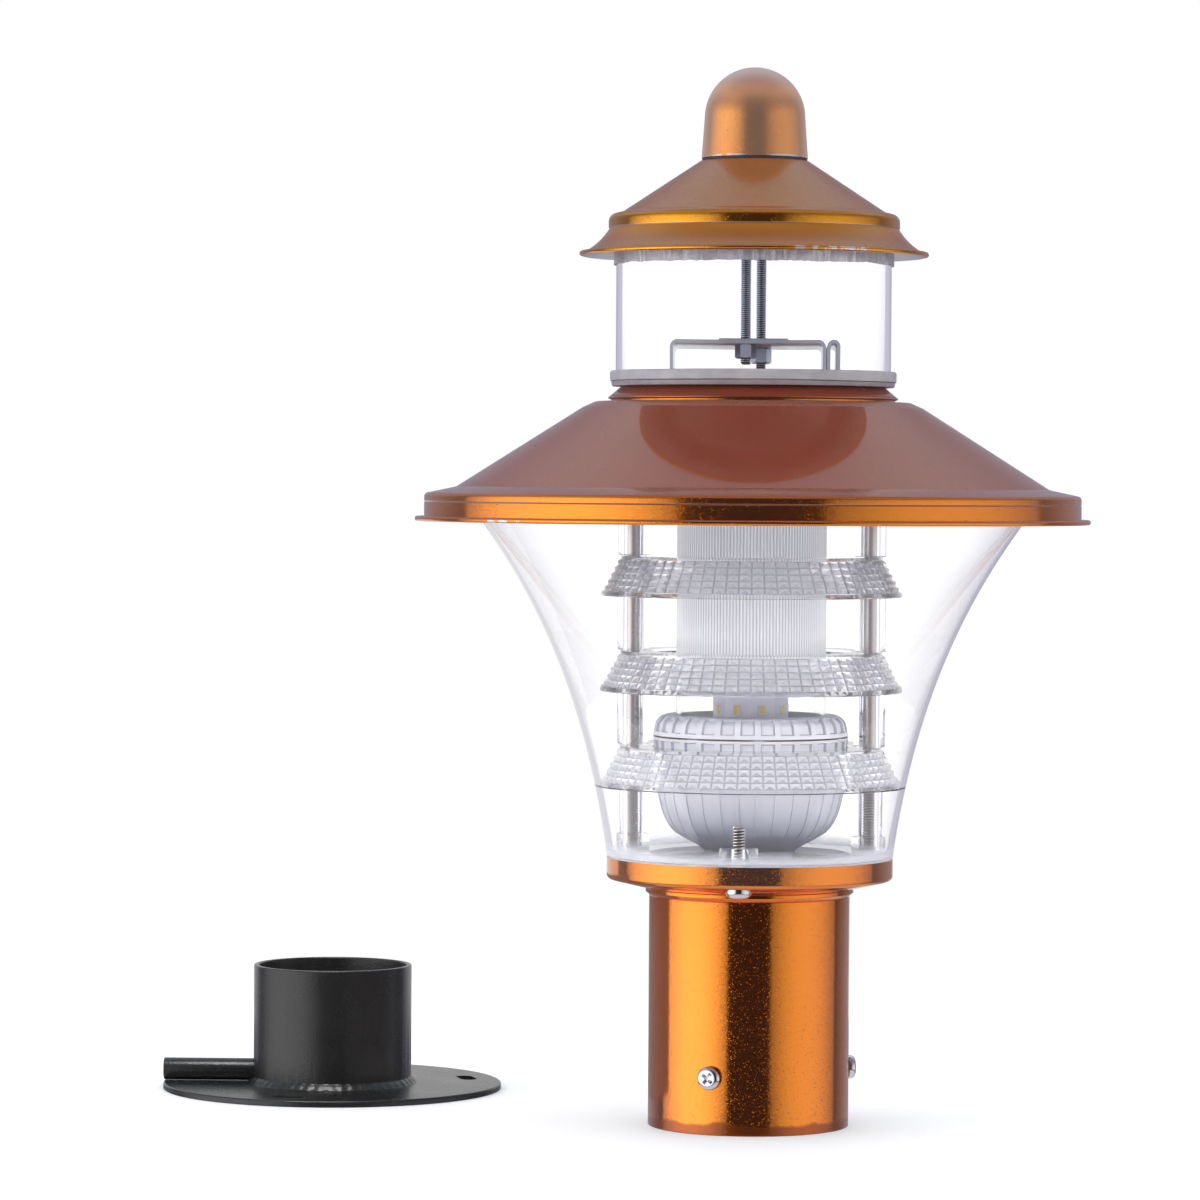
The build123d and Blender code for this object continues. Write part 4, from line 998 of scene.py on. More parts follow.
PRISM_COLUMNS = 72
PRISM_ROWS = 5
PRISM_DEPTH = 0.8 * MM
SPACER_POCKET = 6.3 * MM  # radius of the room for a spacer under a ring's flange


def on_rows(face, at, rows):
    """True for a face that looks outwards between a ring's first and last row of pyramids."""
    return face.normal.xy.dot(at.xy) > 0 and rows[-1].y < at.z < rows[0].y


def stands_out(at, row, outward):
    """How far a point stands out from the line of a ring's valleys, which passes through a row."""
    return (Vector((at.xy.length, at.z)) - row).dot(outward)


def louvre_rings():
    """Three prismatic rings: a flange for the rods and a skirt of pyramids with a plain rim."""
    for number in (1, 2, 3):
        node = f"louvre_ring_{number}"
        foot_r, foot, head = span(node)
        top_r = foot_r - 7.6 * MM
        wall = 2.2 * MM
        flange = head - 2.0 * MM
        rim = foot + 1.9 * MM
        slope = Vector((foot_r - top_r, foot - head)).normalized()
        outward = Vector((-slope.y, slope.x))
        inset = outward * -PRISM_DEPTH
        rows = evenly(
            Vector((top_r, head)) + slope * 1.0 * MM + inset,
            Vector((foot_r, foot)) - slope * 2.2 * MM + inset,
            PRISM_ROWS,
        )
        outline = (
            rounded([(LAMP_HOLE, flange, 0), (LAMP_HOLE, head, 0), (top_r, head, 0)])
            + rows
            + rounded([(foot_r - 0.5 * MM, rim, 0), (foot_r, foot, 0), (foot_r - wall, foot, 0)])
            + [Vector((top_r - wall, flange))]
        )
        bm = lathe(outline, PRISM_COLUMNS, closed=True)
        facets = [face for face in bm.faces if on_rows(face, face.calc_center_median(), rows)]
        bmesh.ops.poke(bm, faces=facets, offset=PRISM_DEPTH, center_mode="MEAN")
        bm = combine(bm, rods(rod_places(), SPACER_POCKET, foot - MM, flange, 40), "DIFFERENCE")
        bm = combine(bm, rods(rod_places(), THREAD_HOLE, foot, head + MM), "DIFFERENCE")
        # valleys between the pyramids, where the facets' material paints dark lines
        valley = bm.verts.layers.float.new("valley")
        for vert in bm.verts:
            level = rows[-1].y - MERGE < vert.co.z < rows[0].y + MERGE
            if level and abs(stands_out(vert.co, rows[0], outward)) < 0.02 * MM:
                vert[valley] = 1.0
        for face in bm.faces:
            at = face.calc_center_median()
            proud = stands_out(at, rows[0], outward) > 0.1 * PRISM_DEPTH
            face.material_index = int(proud and on_rows(face, at, rows))
        piece(f"{node}_prisms", bm, [PRISM_CLEAR, PRISM_FACETS], [node], sharp=12)


def spacers():
    """Clear tubes on the rods, with eased ends."""
    for level in (1, 2, 3, 4):
        for side in ("left", "right"):
            node = f"spacer_{level}_{side}"
            low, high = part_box(node)
            outer = (high.x - low.x) / 2
            at = middle(node)
            ease = 0.35 * MM
            crown = 2.2 * MM if level == 4 else ease  # the top spacers have a wide chamfer
            outline = [
                (THREAD_HOLE, low.z),
                (outer - ease, low.z),
                (outer, low.z + ease),
                (outer, high.z - crown),
                (outer - crown, high.z),
                (THREAD_HOLE, high.z),
            ]
            bm = lathe(outline, 48, closed=True)
            place = Matrix.Translation((at.x, at.y, 0))
            made = piece(f"{node}_tube", bm, [SPACER_CLEAR], [node], place)
            made.visible_glossy = False


def tie_rods():
    """Smooth steel rods with threaded ends."""
    for side in ("left", "right"):
        node = f"tie_rod_{side}"
        low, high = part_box(node)
        at = middle(node)
        core = 1.95 * MM
        tip = 1.55 * MM
        ease = 0.5 * MM
        pitch = 1.05 * MM
        lower_end = low.z + 32 * MM
        upper_end = high.z - 14 * MM
        outline = [
            (0, low.z),
            (tip, low.z),
            (core, low.z + ease),
            (core, lower_end),
            (THICK_THREAD, lower_end + ease),
            (THICK_THREAD, upper_end - ease),
            (core, upper_end),
            (core, high.z - ease),
            (tip, high.z),
            (0, high.z),
        ]
        bm = lathe(outline, 40)
        for foot, head in ((low.z + 0.3 * MM, lower_end + pitch), (upper_end - pitch, high.z - 0.3 * MM)):
            add(bm, ridge(THICK_THREAD, pitch, foot, head))
            mark_roots(bm, THICK_THREAD - 0.3 * pitch, foot, head)
        place = Matrix.Translation((at.x, at.y, 0))
        piece(f"{node}_threaded", bm, [ROD_STEEL], [node], place)


# Head: roof and lantern

GLASS_WALL = 2.4 * MM
STRIP = 1.3 * MM  # thickness of the bracket's strip


def main_roof():
    """Spun roof: platform, neck, collar, shoulder, cone, brim and a grooved band with a thick lip."""
    lip_r, foot, platform = span("main_roof")
    brim_r = lip_r - 3.5 * MM
    body_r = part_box("pole_flange")[1].x
    lip_top = foot + 1.9 * MM
    brim = lip_top + 8.6 * MM
    shoulder = platform - 5.7 * MM
    groove = brim - 3.1 * MM
    cut = 0.3 * MM
    outline = rounded(
        [
            (0, platform, 0),
            (body_r - 4.4 * MM, platform, 0.6 * MM),
            (body_r + 0.9 * MM, platform - 4.5 * MM, 0.25 * MM),
            (body_r - 0.6 * MM, platform - 5.0 * MM, 0.2 * MM),
            (body_r - 0.6 * MM, shoulder, 0.2 * MM),
            (body_r + 5.2 * MM, shoulder, 3.5 * MM),
            (body_r + 10.1 * MM, shoulder - 2.2 * MM, 4 * MM),
            (brim_r - 12.1 * MM, brim + 2.6 * MM, 3 * MM),
            (brim_r, brim, 1.6 * MM),
            (brim_r, groove + cut, 0.1 * MM),
            (brim_r - cut, groove, 0),
            (brim_r, groove - cut, 0.1 * MM),
            (brim_r, lip_top - 0.5 * MM, 0),
        ],
        steps=8,
    )
    bm = spun_sheet(outline, SHEET, 256)
    bm = combine(bm, rods(rod_places(), THREAD_HOLE, platform - 3 * MM, platform + MM), "DIFFERENCE")
    second_finish(bm, lambda face, at: face.normal.z < -0.3)
    lip = rounded(
        [
            (brim_r - SHEET, lip_top, 0.2 * MM),
            (lip_r, lip_top, 0.85 * MM),
            (lip_r, foot, 0.85 * MM),
            (brim_r - SHEET, foot, 0.2 * MM),
        ],
        steps=6,
    )
    add(bm, lathe(lip, 256, closed=True))
    piece("main_roof_spun", bm, [COPPER_ROOF, LINING], ["main_roof"])


def waver(bm, low, high, reach, size, seed):
    """Moves the vertices between two levels up and down a little, round the axis."""
    for vert in bm.verts:
        if low <= vert.co.z <= high:
            turn = atan2(vert.co.y, vert.co.x)
            spot = Vector((cos(turn), sin(turn), seed)) / size
            vert.co.z += reach * noise.noise(spot)


def lower_gasket():
    """Soft channel under the glass: a lip band over a lower band, a little wavy."""
    rim_r, foot, head = span("lower_gasket")
    glass_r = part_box("upper_glass")[1].x + 0.1 * MM
    floor = foot + 1.0 * MM
    inner = glass_r - 5.5 * MM
    outline = rounded(
        [
            (inner, foot, 0),
            (rim_r - 0.9 * MM, foot, 0.3 * MM),
            (rim_r - 0.5 * MM, CHANNEL_WAIST - 0.25 * MM, 0.15 * MM),
            (rim_r - 0.9 * MM, CHANNEL_WAIST, 0),
            (rim_r - 0.1 * MM, CHANNEL_WAIST + 0.2 * MM, 0.3 * MM),
            (rim_r, head, 0.9 * MM),
            (glass_r, head, 0.2 * MM),
            (glass_r, floor, 0),
            (inner, floor, 0),
        ]
    )
    bm = lathe(outline, 160, closed=True)
    waver(bm, CHANNEL_WAIST - 0.3 * MM, CHANNEL_WAIST + 0.6 * MM, reach=0.7 * MM, size=0.9, seed=3.1)
    bm = combine(bm, rods(rod_places(), 5.0 * MM, foot - MM, floor + MM), "DIFFERENCE")
    piece("lower_gasket_channel", bm, [CHANNEL_STRIP], ["lower_gasket"])


def upper_glass():
    """Lantern glass: a plain cylinder with ground edges."""
    rim_r, foot, head = span("upper_glass")
    outline = eased_ring(rim_r - GLASS_WALL, rim_r, foot, head, 0.4 * MM, steps=4)
    bm = lathe(outline, 192, closed=True)
    made = piece("upper_glass_cylinder", bm, [LANTERN_GLASS], ["upper_glass"])
    made.visible_glossy = False


def upper_gasket():
    """Strip round the top of the glass, folded over its edge and cut by hand below."""
    rim_r, foot, head = span("upper_gasket")
    wall = 0.8 * MM
    inner = rim_r - wall
    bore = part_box("upper_glass")[1].x - GLASS_WALL
    fold = head - wall
    outline = (
        rounded([(bore, fold, 0), (inner, fold, 0)])
        + evenly((inner, fold - 1 * MM), (inner, foot), 6)
        + evenly((rim_r, foot), (rim_r, head - 1 * MM), 6)
        + rounded([(rim_r, head, 0), (bore, head, 0)])
    )
    bm = lathe(outline, 240, closed=True)
    for vert in bm.verts:
        turn = atan2(vert.co.y, vert.co.x)
        spot = Vector((cos(turn), sin(turn), 0.7))
        ragged = max(0.0, 0.3 + 0.6 * noise.noise(spot * 3) + 0.5 * noise.noise(spot * 23))
        share = max(0.0, (fold - vert.co.z) / (fold - foot))
        vert.co.z += ragged * share**3 * 0.9 * MM
    piece("upper_gasket_strip", bm, [LANTERN_STRIP], ["upper_gasket"])


def bridge_bracket():
    """Bent strip across the lantern, with a looped right leg and a pad for the screws."""
    low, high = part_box("bridge_bracket")
    pad_height = 0.5 * MM
    foot = low.z + STRIP / 2
    top = high.z - pad_height - STRIP / 2
    left_leg = low.x + 9.0 * MM
    hook_out = high.x - 7.8 * MM
    hook_in = hook_out - 3.7 * MM
    right_leg = hook_in - STRIP - 0.3 * MM
    bend = 2.2 * MM
    hairpin = 0.49 * (hook_in - right_leg)
    loop = 0.49 * (hook_out - hook_in)
    path = rounded(
        [
            (low.x, foot, 0),
            (left_leg, foot, bend),
            (left_leg, top, bend),
            (right_leg, top, bend),
            (right_leg, foot, hairpin),
            (hook_in, foot, hairpin),
            (hook_in, top, loop),
            (hook_out, top, loop),
            (hook_out, foot, bend),
            (high.x, foot, 0),
        ],
        steps=6,
    )
    bm = bmesh.new()
    verts = [bm.verts.new((x, low.y, z)) for x, z in path]
    edges = [bm.edges.new(pair) for pair in zip(verts, verts[1:])]
    far = verts_of(bmesh.ops.extrude_edge_only(bm, edges=edges)["geom"])
    bmesh.ops.translate(bm, vec=(0, high.y - low.y, 0), verts=far)
    bmesh.ops.recalc_face_normals(bm, faces=bm.faces)
    made = piece("bridge_bracket_bent", bm, [ZINC], ["bridge_bracket"])
    thicken = made.modifiers.new("thickness", "SOLIDIFY")
    thicken.thickness = STRIP
    thicken.offset = 0
    edge = made.modifiers.new("edges", "BEVEL")
    edge.width = 0.2 * MM
    edge.segments = 2
    edge.limit_method = "ANGLE"
    edge.angle_limit = radians(60)
    pad = bmesh.new()
    pad_size = (26 * MM, high.y - low.y - 0.6 * MM, 2 * pad_height)
    place = Matrix.LocRotScale((0, 0, high.z - pad_height), None, pad_size)
    bmesh.ops.create_cube(pad, size=1.0, matrix=place)
    bmesh.ops.bevel(
        pad, geom=pad.edges, offset=0.25 * MM, segments=2, profile=0.5, affect="EDGES", material=-1
    )
    piece("bridge_bracket_pad", pad, [ZINC], ["bridge_bracket"])


# Cap and finial


def top_cap():
    """Spun cap: flat crown, cone, bead and flare with a rolled rim."""
    reach, foot, _ = span("top_cap")
    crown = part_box("finial_washer")[0].z
    body_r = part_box("pole_flange")[1].x
    crown_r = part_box("finial_dome")[1].x
    roll = 0.9 * MM
    bead_r = body_r + 0.8 * MM
    bead_top = crown - 19.6 * MM
    bead_low = bead_top - 6.0 * MM
    end = (reach - roll, foot + roll)
    outline = rounded(
        [
            (0, crown, 0),
            (crown_r, crown, 1.5 * MM),
            (bead_r - 5.2 * MM, bead_top, 0.3 * MM),
            (bead_r, bead_top - 1.2 * MM, 3.0 * MM),
            (bead_r, bead_low, 0.4 * MM),
            (bead_r - 0.3 * MM, bead_low - 0.3 * MM, 0),
        ],
        steps=6,
    )
    outline += bowed(outline[-1], end, 1.0 * MM, 16)[1:]
    bm = spun_sheet(outline, SHEET, 224)
    second_finish(bm, lambda face, at: face.normal.z < -0.25)
    add(bm, lathe(arc(end, roll, 0, 330, 11), 224, closed=True))
    piece("top_cap_spun", bm, [COPPER_CAP, UNPAINTED], ["top_cap"])


def finial_washer():
    """Soft washer under the dome."""
    rim_r, foot, head = span("finial_washer")
    bm = lathe(eased_ring(rim_r - 3.4 * MM, rim_r, foot, head, 0.25 * MM), 128, closed=True)
    piece("finial_washer_ring", bm, [NAVY_RUBBER], ["finial_washer"])


def finial_dome():
    """Pressed dome on a slightly flared skirt."""
    foot_r, foot, head = span("finial_dome")
    radius = foot_r - 1.1 * MM
    spring = Vector((0, 0, head - radius))
    outline = [Vector((foot_r, foot))] + arc((0, spring.z), radius, 0, 90, 24)
    bm = spun_sheet(outline, SHEET, 160)
    second_finish(bm, lambda face, at: face.normal.dot(at - spring) < 0)
    piece("finial_dome_pressed", bm, [COPPER_DOME, UNPAINTED], ["finial_dome"])


# Bulb

POCKET_STEPS = 10  # lathe steps for each pocket and the rib beside it
POCKET_WIDTH = 7  # of those steps
POCKET_DEPTH = 1.0 * MM
POCKET_WALL = 0.45 * MM


def pockets(bm, low, high):
    """Presses pockets into the band between two levels, with walls in a greyer material that paints shade.
    """
    steps = NOTCHES * POCKET_STEPS
    groups = {}
    for face in bm.faces:
        at = face.calc_center_median()
        if low < at.z < high and face.normal.xy.dot(at.xy) > 0:
            column = int((atan2(at.y, at.x) % tau) / tau * steps)
            if column % POCKET_STEPS < POCKET_WIDTH:
                groups.setdefault(column // POCKET_STEPS, []).append(face)
    for faces in groups.values():
        sunk = bmesh.ops.inset_region(
            bm, faces=faces, thickness=POCKET_WALL, depth=-POCKET_DEPTH, use_even_offset=True
        )
        for face in sunk["faces"]:
            face.material_index = 1


def upright_rib(spine):
    """Thin rib that follows a spine of (radius, height) points and dies out at both ends."""
    width = 1.3 * MM
    proud = 0.45 * MM
    sunk = 1.0 * MM
    bm = bmesh.new()
    verts = [bm.verts.new((x - sunk, -width / 2, z)) for x, z in spine]
    edges = [bm.edges.new(pair) for pair in zip(verts, verts[1:])]
    outer = verts_of(bmesh.ops.extrude_edge_only(bm, edges=edges)["geom"])
    ends = {min(outer, key=lambda vert: vert.co.z), max(outer, key=lambda vert: vert.co.z)}
    for vert in outer:
        vert.co.x += sunk + (0 if vert in ends else proud)
    far = verts_of(bmesh.ops.extrude_face_region(bm, geom=bm.faces[:])["geom"])
    bmesh.ops.translate(bm, vec=(0, width, 0), verts=far)
    bmesh.ops.recalc_face_normals(bm, faces=bm.faces)
    return bm


def bulb_housing():
    """White lower bowl of the bulb, with thin upright ribs and a pocketed band."""
    band_r, foot, split = span("bulb_housing")
    side_r = band_r - 0.5 * MM
    neck_r = 17.4 * MM
    neck = foot + 6.2 * MM
    band = split - 6.2 * MM
    belly = curve(
        (neck_r, neck),
        (neck_r + 9.6 * MM, neck + 7.0 * MM),
        (side_r - 1.8 * MM, band - 34.5 * MM),
        (side_r, band),
        30,
    )
    outline = (
        rounded([(14 * MM, foot, 0), (neck_r - 1.9 * MM, foot, 0.5 * MM), (neck_r, neck, 0)])
        + belly[1:]
        + evenly((side_r + 0.1 * MM, band + 1.0 * MM), (band_r - 0.1 * MM, split - 1.3 * MM), 3)
        + rounded([(band_r, split - 0.1 * MM, 0), (20 * MM, split - 0.1 * MM, 0)])
    )
    bm = lathe(outline, NOTCHES * POCKET_STEPS)
    close_holes(bm)
    pockets(bm, band + 1.0 * MM, split - 1.3 * MM)
    rib = upright_rib([point for point in belly if point.y > neck + 5.5 * MM])
    for number in range(NOTCHES):
        turn = tau * (number + (POCKET_WIDTH + POCKET_STEPS) / 2 / POCKET_STEPS) / NOTCHES
        stamp(bm, rib, Matrix.Rotation(turn, 4, "Z"))
    rib.free()
    piece("bulb_housing_ribbed", bm, [BULB_WHITE, BULB_POCKET_SHADE], ["bulb_housing"])


def bulb_collar():
    """White crown of the bulb, with a pocket between each pair of ribs."""
    rim_r, split, head = span("bulb_collar")
    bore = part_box("bulb_diffuser")[1].x + 0.1 * MM
    floor = split + 2.5 * MM
    shoulder = head - 3.0 * MM
    crown_r = rim_r - 5.9 * MM
    seat = split + 0.15 * MM
    hole_r = 8 * MM
    outline = [Vector((hole_r, seat)), Vector((rim_r - 0.2 * MM, seat)), Vector((rim_r, seat + 0.25 * MM))]
    outline += evenly((rim_r - 0.3 * MM, split + 1.9 * MM), (rim_r - 1.0 * MM, shoulder), 2)
    outline += bowed((rim_r - 1.0 * MM, shoulder), (crown_r, head), 0.9 * MM, 5)[1:]
    outline += [Vector((bore, head)), Vector((bore, floor)), Vector((hole_r, floor))]
    bm = lathe(outline, NOTCHES * POCKET_STEPS, closed=True)
    pockets(bm, split + 1.9 * MM, head - 0.35 * MM)
    piece("bulb_collar_crown", bm, [BULB_WHITE, BULB_POCKET_SHADE], ["bulb_collar"])


FLUTE_DEPTH = 0.5 * MM


def bulb_diffuser():
    """Clear cover of the bulb with fine upright flutes above a smooth foot."""
    radius, foot, head = span("bulb_diffuser")
    bend = 6 * MM
    outline = [Vector((radius, foot))]
    outline += evenly((radius, FLUTE_FOOT - 2 * MM), (radius, head - bend), 8)
    outline += arc((radius - bend, head - bend), bend, 0, 90, 6)[1:] + [Vector((0, head))]
    bm = lathe(outline, 2 * FLUTES)
    for vert in bm.verts:
        column = round((atan2(vert.co.y, vert.co.x) % tau) / tau * 2 * FLUTES)
        if column % 2 and FLUTE_FOOT < vert.co.z < head - bend / 4 and vert.co.xy.length > MM:
            vert.co.xy *= 1 - FLUTE_DEPTH / radius
    bmesh.ops.solidify(bm, geom=bm.faces, thickness=1.5 * MM)
    piece("bulb_diffuser_fluted", bm, [DIFFUSER], ["bulb_diffuser"], sharp=50)


CHIP_ROWS = 9
CORE_SIDES = 9
CORE_WIDTH = 28.8 * MM  # across the corners
CORE_TURN = -22.0  # degrees


def led_chips():
    """LED chips on the core's flats: a white case with a phosphor window."""
    low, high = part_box("led_chips")
    width, height, thickness = 2.9 * MM, 3.6 * MM, 0.7 * MM
    flat = CORE_WIDTH / 2 * cos(pi / CORE_SIDES)
    place = Matrix.LocRotScale((flat + thickness / 2, 0, 0), None, (thickness, width, height))
    chip = bmesh.new()
    bmesh.ops.create_cube(chip, size=1.0, matrix=place)
    front = max(chip.faces, key=lambda face: face.normal.x)
    bmesh.ops.inset_individual(chip, faces=[front], thickness=0.35 * MM, depth=-0.12 * MM)
    front.material_index = 1
    bm = bmesh.new()
    first = low.z + height / 2
    pitch = (high.z - low.z - height) / (CHIP_ROWS - 1)
    for row in range(CHIP_ROWS):
        for side in range(CORE_SIDES):
            turn = Matrix.Rotation(radians(CORE_TURN - 90 + 360 / CORE_SIDES * side), 4, "Z")
            stamp(bm, chip, turn @ Matrix.Translation((0, 0, first + row * pitch)))
    chip.free()
    piece("led_chips_cased", bm, [CHIP_WHITE, PHOSPHOR], ["led_chips"])


# Mounting base


def base_plate():
    """Round plate with an eased edge and three slots."""
    radius = (BASE_HIGH.x - BASE_LOW.x) / 2
    thickness = BASE_HIGH.z
    outline = rounded([(0, 0, 0), (radius, 0, 0.3 * MM), (radius, thickness, 0.7 * MM), (0, thickness, 0)])
    bm = lathe(outline, 192)
    slot_r = radius - 12.2 * MM
    half_width = 3.25 * MM
    half_run = 14.5 * MM / 2 - half_width
    slots = bmesh.new()
    for turn in (17, 137, 257):
        slot = rods([(0, 0)], half_width, -MM, thickness + MM, 40)
        for vert in slot.verts:
            vert.co.y += half_run if vert.co.y > 0 else -half_run
        add(slots, slot, Matrix.Rotation(radians(turn), 4, "Z") @ Matrix.Translation((slot_r, 0, 0)))
    bm = combine(bm, slots, "DIFFERENCE")
    piece("base_plate_slotted", bm, [BLACK], ["base_plate"], ON_BASE)


PIPE_R = 4.4 * MM
WELD_LEG = 2.4 * MM
WELD_RIPPLES = 48


def base_spigot():
    """Upright stub of tube with a rippled weld at its foot and a hole for the pipe."""
    low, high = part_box("base_spigot")
    radius = (high.x - low.x) / 2 - WELD_LEG
    bore = radius - 2 * MM
    outline = rounded(
        [
            (bore, low.z, 0),
            (radius, low.z, 0),
            (radius, high.z, 0.5 * MM),
            (bore, high.z, 0.5 * MM),
        ],
        steps=4,
    )
    bm = lathe(outline, 128, closed=True)
    bead = lathe(
        [Vector((radius - 0.5 * MM, low.z))]
        + bowed((radius + WELD_LEG, low.z), (radius, low.z + WELD_LEG), 0.25 * MM, 6)
        + [Vector((radius - 0.5 * MM, low.z + WELD_LEG))],
        288,
        closed=True,
    )
    for vert in bead.verts:
        turn = atan2(vert.co.y, vert.co.x)
        if vert.co.z > low.z + 0.1 * MM and vert.co.xy.length > radius + 0.05 * MM:
            drift = 2 * noise.noise((3 * cos(turn), 3 * sin(turn), 0))
            ripple = 0.5 + 0.5 * cos(turn * WELD_RIPPLES + drift)
            lump = noise.noise((9 * cos(turn), 9 * sin(turn), vert.co.z / (4 * MM)))
            vert.co.xy *= 1 - (0.35 * MM * ripple + 0.25 * MM * max(0, lump)) / vert.co.xy.length
    bm = combine(bm, bead, "UNION")
    hole = bmesh.new()
    drill = rods([(0, 0)], PIPE_R + 0.05 * MM, 10 * MM, radius + 6 * MM, 40)
    add(hole, drill, set_along((0, 0, middle("base_cable_pipe").z), (-1, 0, 0)))
    bm = combine(bm, hole, "DIFFERENCE")
    piece("base_spigot_welded", bm, [BLACK], ["base_spigot"], ON_BASE)


def base_cable_pipe():
    """Short pipe for the cable, from the spigot to the plate's edge."""
    low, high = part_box("base_cable_pipe")
    bm = lathe(eased_ring(3.2 * MM, PIPE_R, 0, high.x - low.x, 0.3 * MM), 64, closed=True)
    at = middle("base_cable_pipe")
    place = set_along((high.x, at.y, at.z), (-1, 0, 0))
    piece("base_cable_pipe_cut", bm, [BLACK], ["base_cable_pipe"], place)


pole_tube()
pole_flange()
seat_gasket()
clamp_screws()
flange_screws()
bowl()
louvre_rings()
spacers()
tie_rods()
main_roof()
lower_gasket()
upper_glass()
upper_gasket()
bridge_bracket()
cap_screws()
all_nuts()
top_cap()
finial_washer()
finial_dome()
bulb_housing()
bulb_collar()
bulb_diffuser()
led_chips()
base_plate()
base_spigot()
base_cable_pipe()


# Studio


def pale_floor():
    """Pale round floor that fades into the white room."""
    bm = bmesh.new()
    bmesh.ops.create_circle(bm, cap_ends=True, segments=96, radius=1.6)
    mesh = bpy.data.meshes.new("floor")
    bm.to_mesh(mesh)
    bm.free()
    made = bpy.data.objects.new("floor", mesh)
    scene.collection.objects.link(made)
    paint = Paint("pale_floor")
    x, y, _ = paint.axes()
    away = (x * x + y * y) ** 0.5
    grain = paint.noise(60 * MM, detail=2.0)
    tint = paint.mix(grain, rgb(0.90, 0.90, 0.91), rgb(0.93, 0.93, 0.94))
    surface = paint.principled(base_color=tint, roughness=0.7, emission_color=tint, emission_strength=0.15)
    gone = paint.node("BsdfTransparent")
    faded = paint.node("MixShader", {}, {0: away.ease(0.30, 0.75), 1: surface, 2: gone})
    mesh.materials.append(paint.done(faded))
    made.visible_glossy = False
    made.visible_diffuse = False
    made.visible_shadow = False


def softbox(name, turn, peak, edge):
    """Large soft light that stands at a turn from the camera's side and faces the lamp.

    It is brightest along its middle, falls to an edge share at its sides and fades towards its top.
    """
    distance, width, height, level = 1.3, 2.6, 2.4, 0.75
    light = bpy.data.lights.new(name, "AREA")
    light.shape = "RECTANGLE"
    light.size = width
    light.size_y = height
    light.energy = peak * pi * width * height
    light.use_nodes = True
    paint = Paint(name, light)
    side, rise, _ = paint.parts(paint.node("NewGeometry", output="Parametric"))
    middle_glow = (4 * side * (1 - side)) ** 1.5
    strength = (edge + (1 - edge) * middle_glow) * (1 - 0.85 * rise.ease(0.12, 0.70))
    glow = paint.node("Emission", {}, {"Strength": strength})
    paint.node("OutputLight", {}, {"Surface": glow})
    made = bpy.data.objects.new(name, light)
    place = Vector((sin(radians(turn)) * distance, -cos(radians(turn)) * distance, level))
    made.location = place
    made.rotation_euler = (Vector((0, 0, level)) - place).to_track_quat("-Z", "Y").to_euler()
    made.visible_camera = False
    made.visible_transmission = False
    scene.collection.objects.link(made)


def base_light():
    """Small overhead light for the black base alone."""
    light = bpy.data.lights.new("base_light", "AREA")
    light.shape = "RECTANGLE"
    light.size = 0.45
    light.size_y = 0.25
    light.energy = 3.5
    made = bpy.data.objects.new("base_light", light)
    made.location = (BASE_AT.x, BASE_AT.y - 0.25, 0.60)
    made.rotation_euler = (BASE_AT - made.location).to_track_quat("-Z", "Y").to_euler()
    made.visible_camera = False
    lit = bpy.data.collections.new("base_pieces")
    for name in ("base_plate_slotted", "base_spigot_welded", "base_cable_pipe_cut"):
        lit.objects.link(bpy.data.objects[name])
    made.light_linking.receiver_collection = lit
    scene.collection.objects.link(made)


def card(name, place, turn, width, height, colour):
    """Upright glowing card, turned about Z, that only mirrors see."""
    bm = bmesh.new()
    bmesh.ops.create_grid(bm, x_segments=1, y_segments=1, size=0.5)
    mesh = bpy.data.meshes.new(name)
    bm.to_mesh(mesh)
    bm.free()
    stand = Matrix.Rotation(turn, 3, "Z") @ Matrix.Rotation(pi / 2, 3, "X")
    mesh.transform(Matrix.LocRotScale((place[0], place[1], height / 2), stand, (width, height, 1)))
    made = bpy.data.objects.new(name, mesh)
    paint = Paint(name)
    mesh.materials.append(paint.done(paint.node("Emission", {}, {"Color": colour, "Strength": 1.0})))
    made.visible_camera = False
    made.visible_diffuse = False
    made.visible_transmission = False
    made.visible_shadow = False
    scene.collection.objects.link(made)


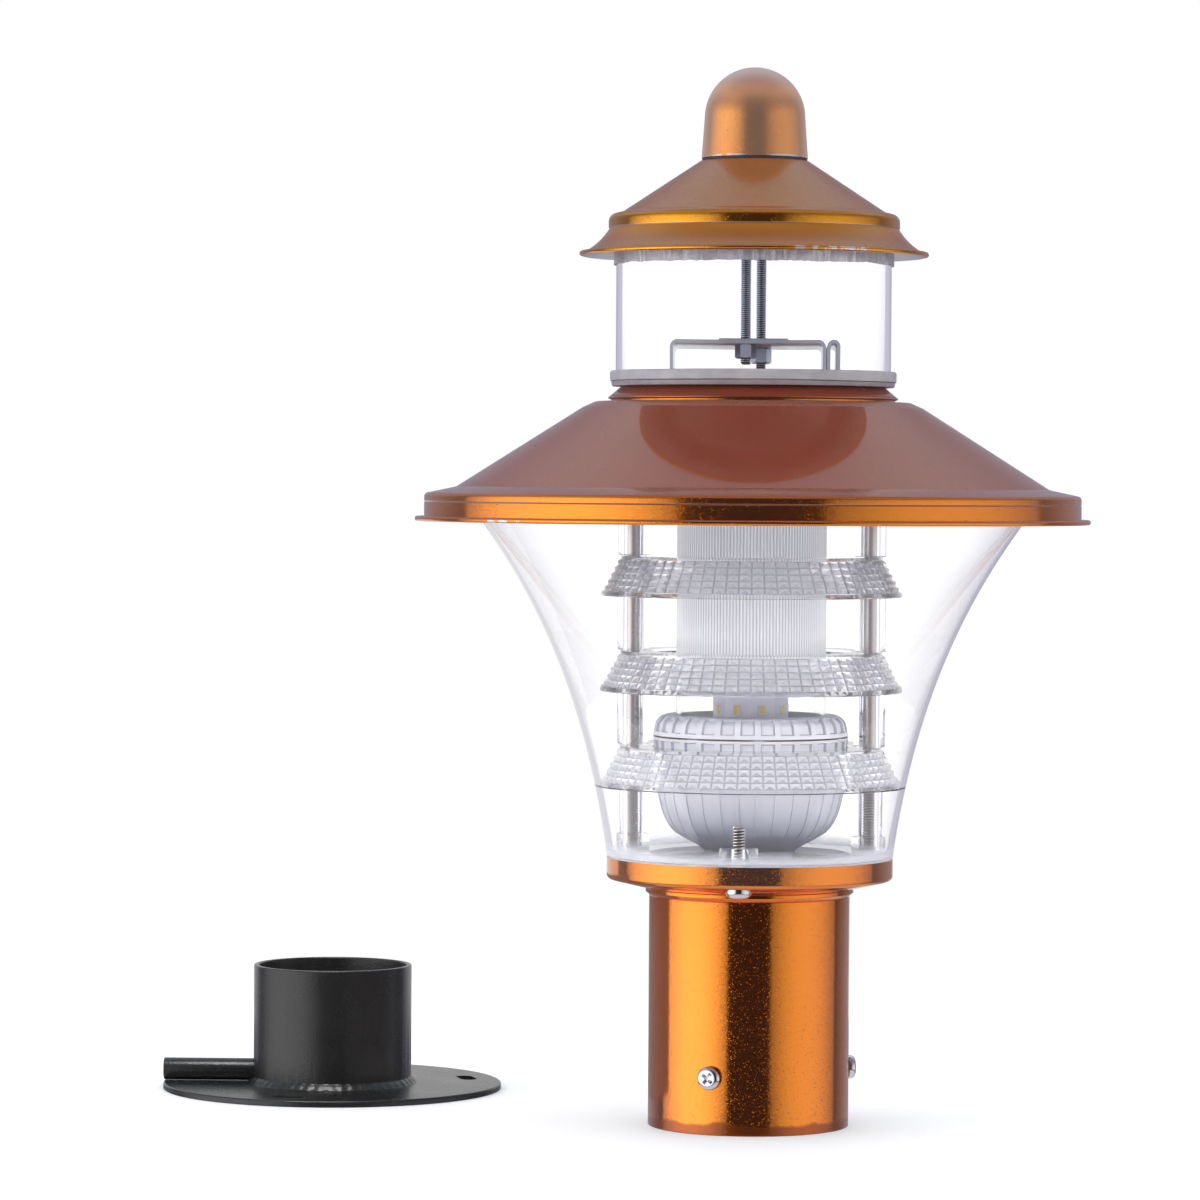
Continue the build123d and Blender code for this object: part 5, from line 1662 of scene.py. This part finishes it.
def studio():
    """Two side softboxes in a dark room with a cool backdrop.

    What the camera sees directly, and what clear pieces pass on, is a white room.
    Scattered light is brighter inside the bowl, to make up for its clear walls.
    """
    softbox("softbox_left", -69.5, 1.9, 0.30)
    softbox("softbox_right", 69.5, 0.95, 0.35)
    base_light()
    card("pale_card", (BASE_AT.x, BASE_AT.y + 0.25), 0, 0.60, 0.20, rgb(0.8, 0.8, 0.8))
    towards_base = atan2(BASE_AT.y, BASE_AT.x) - pi / 2
    card("dark_card", BASE_AT * 0.45, towards_base, 0.12, 0.09, rgb(0.22, 0.18, 0.20))
    world = bpy.data.worlds.new("studio")
    scene.world = world
    world.cycles.sampling_method = "NONE"
    paint = Paint("studio", world)
    _, behind, up = paint.parts(paint.node("TexCoord", output="Generated"))
    room = paint.mix(up.ease(0.3, 0.95), rgb(0.040, 0.023, 0.036), rgb(0.20, 0.18, 0.19))
    backdrop = paint.mix(up.ease(0.35, 0.85), rgb(0.28, 0.28, 0.38), rgb(0.63, 0.96, 1.19))
    room = paint.mix((behind + 0.35 * up).ease(0.20, 0.90), room, backdrop)
    room = paint.mix((0 - up).ease(0.3, 0.6), room, rgb(0.70, 0.70, 0.72))
    seen = paint.node("LightPath", output="Is Camera Ray")
    walls = paint.node("LightPath", output="Transmission Depth")
    scattered = paint.node("LightPath", output="Diffuse Depth") > 0.5
    mirrored = paint.node("LightPath", output="Glossy Depth") > 0.5
    deep = walls.ease(4.5, 7.5)
    white = paint.mix(deep, rgb(1.20, 1.20, 1.21), rgb(1.60, 1.60, 1.64))
    sides = paint.mix(deep, rgb(0.66, 0.64, 0.72), rgb(1.20, 1.20, 1.26))
    sides = paint.mix(behind.ease(-0.7, 0.1), rgb(0.45, 0.42, 0.46), sides)
    sides = paint.mix(behind.ease(0.60, 0.96), sides, white)
    beyond = paint.mix(mirrored, white, sides)
    lit = paint.mix(walls > 0.5, room, beyond)
    around = paint.mix(up.ease(-0.30, 0.05), rgb(0.14, 0.15, 0.20), rgb(4.60, 4.60, 4.70))
    around = paint.mix(up.ease(0.35, 0.85), around, rgb(2.60, 2.60, 2.66))
    lit = paint.mix(scattered, lit, around)
    lit = paint.mix(seen, lit, rgb(1.0, 1.0, 1.0))
    open_air = scattered * (walls < 0.5)
    glow = paint.node("Background", {}, {"Color": lit, "Strength": 1 - 0.67 * open_air})
    paint.node("OutputWorld", {}, {"Surface": glow})


def camera():
    """Long lens in front of the lamp, aimed a little left of it so that the base is in view."""
    data = bpy.data.cameras.new("camera")
    data.sensor_width = 36
    data.lens = 155.1
    made = bpy.data.objects.new("camera", data)
    place = Matrix.Translation((0, -1.957, 0.245))
    yaw = Matrix.Rotation(radians(1.68), 4, "Z")
    pitch = Matrix.Rotation(pi / 2 - radians(1.36), 4, "X")
    roll = Matrix.Rotation(radians(0.37), 4, "Z")
    made.matrix_world = place @ yaw @ pitch @ roll
    scene.collection.objects.link(made)
    scene.camera = made


pale_floor()
studio()
camera()
scene.view_settings.view_transform = "Standard"
scene.cycles.max_bounces = 28
scene.cycles.transmission_bounces = 26
scene.cycles.transparent_max_bounces = 8
scene.cycles.glossy_bounces = 4
scene.cycles.diffuse_bounces = 3
scene.cycles.caustics_reflective = False

bpy.context.view_layer.update()
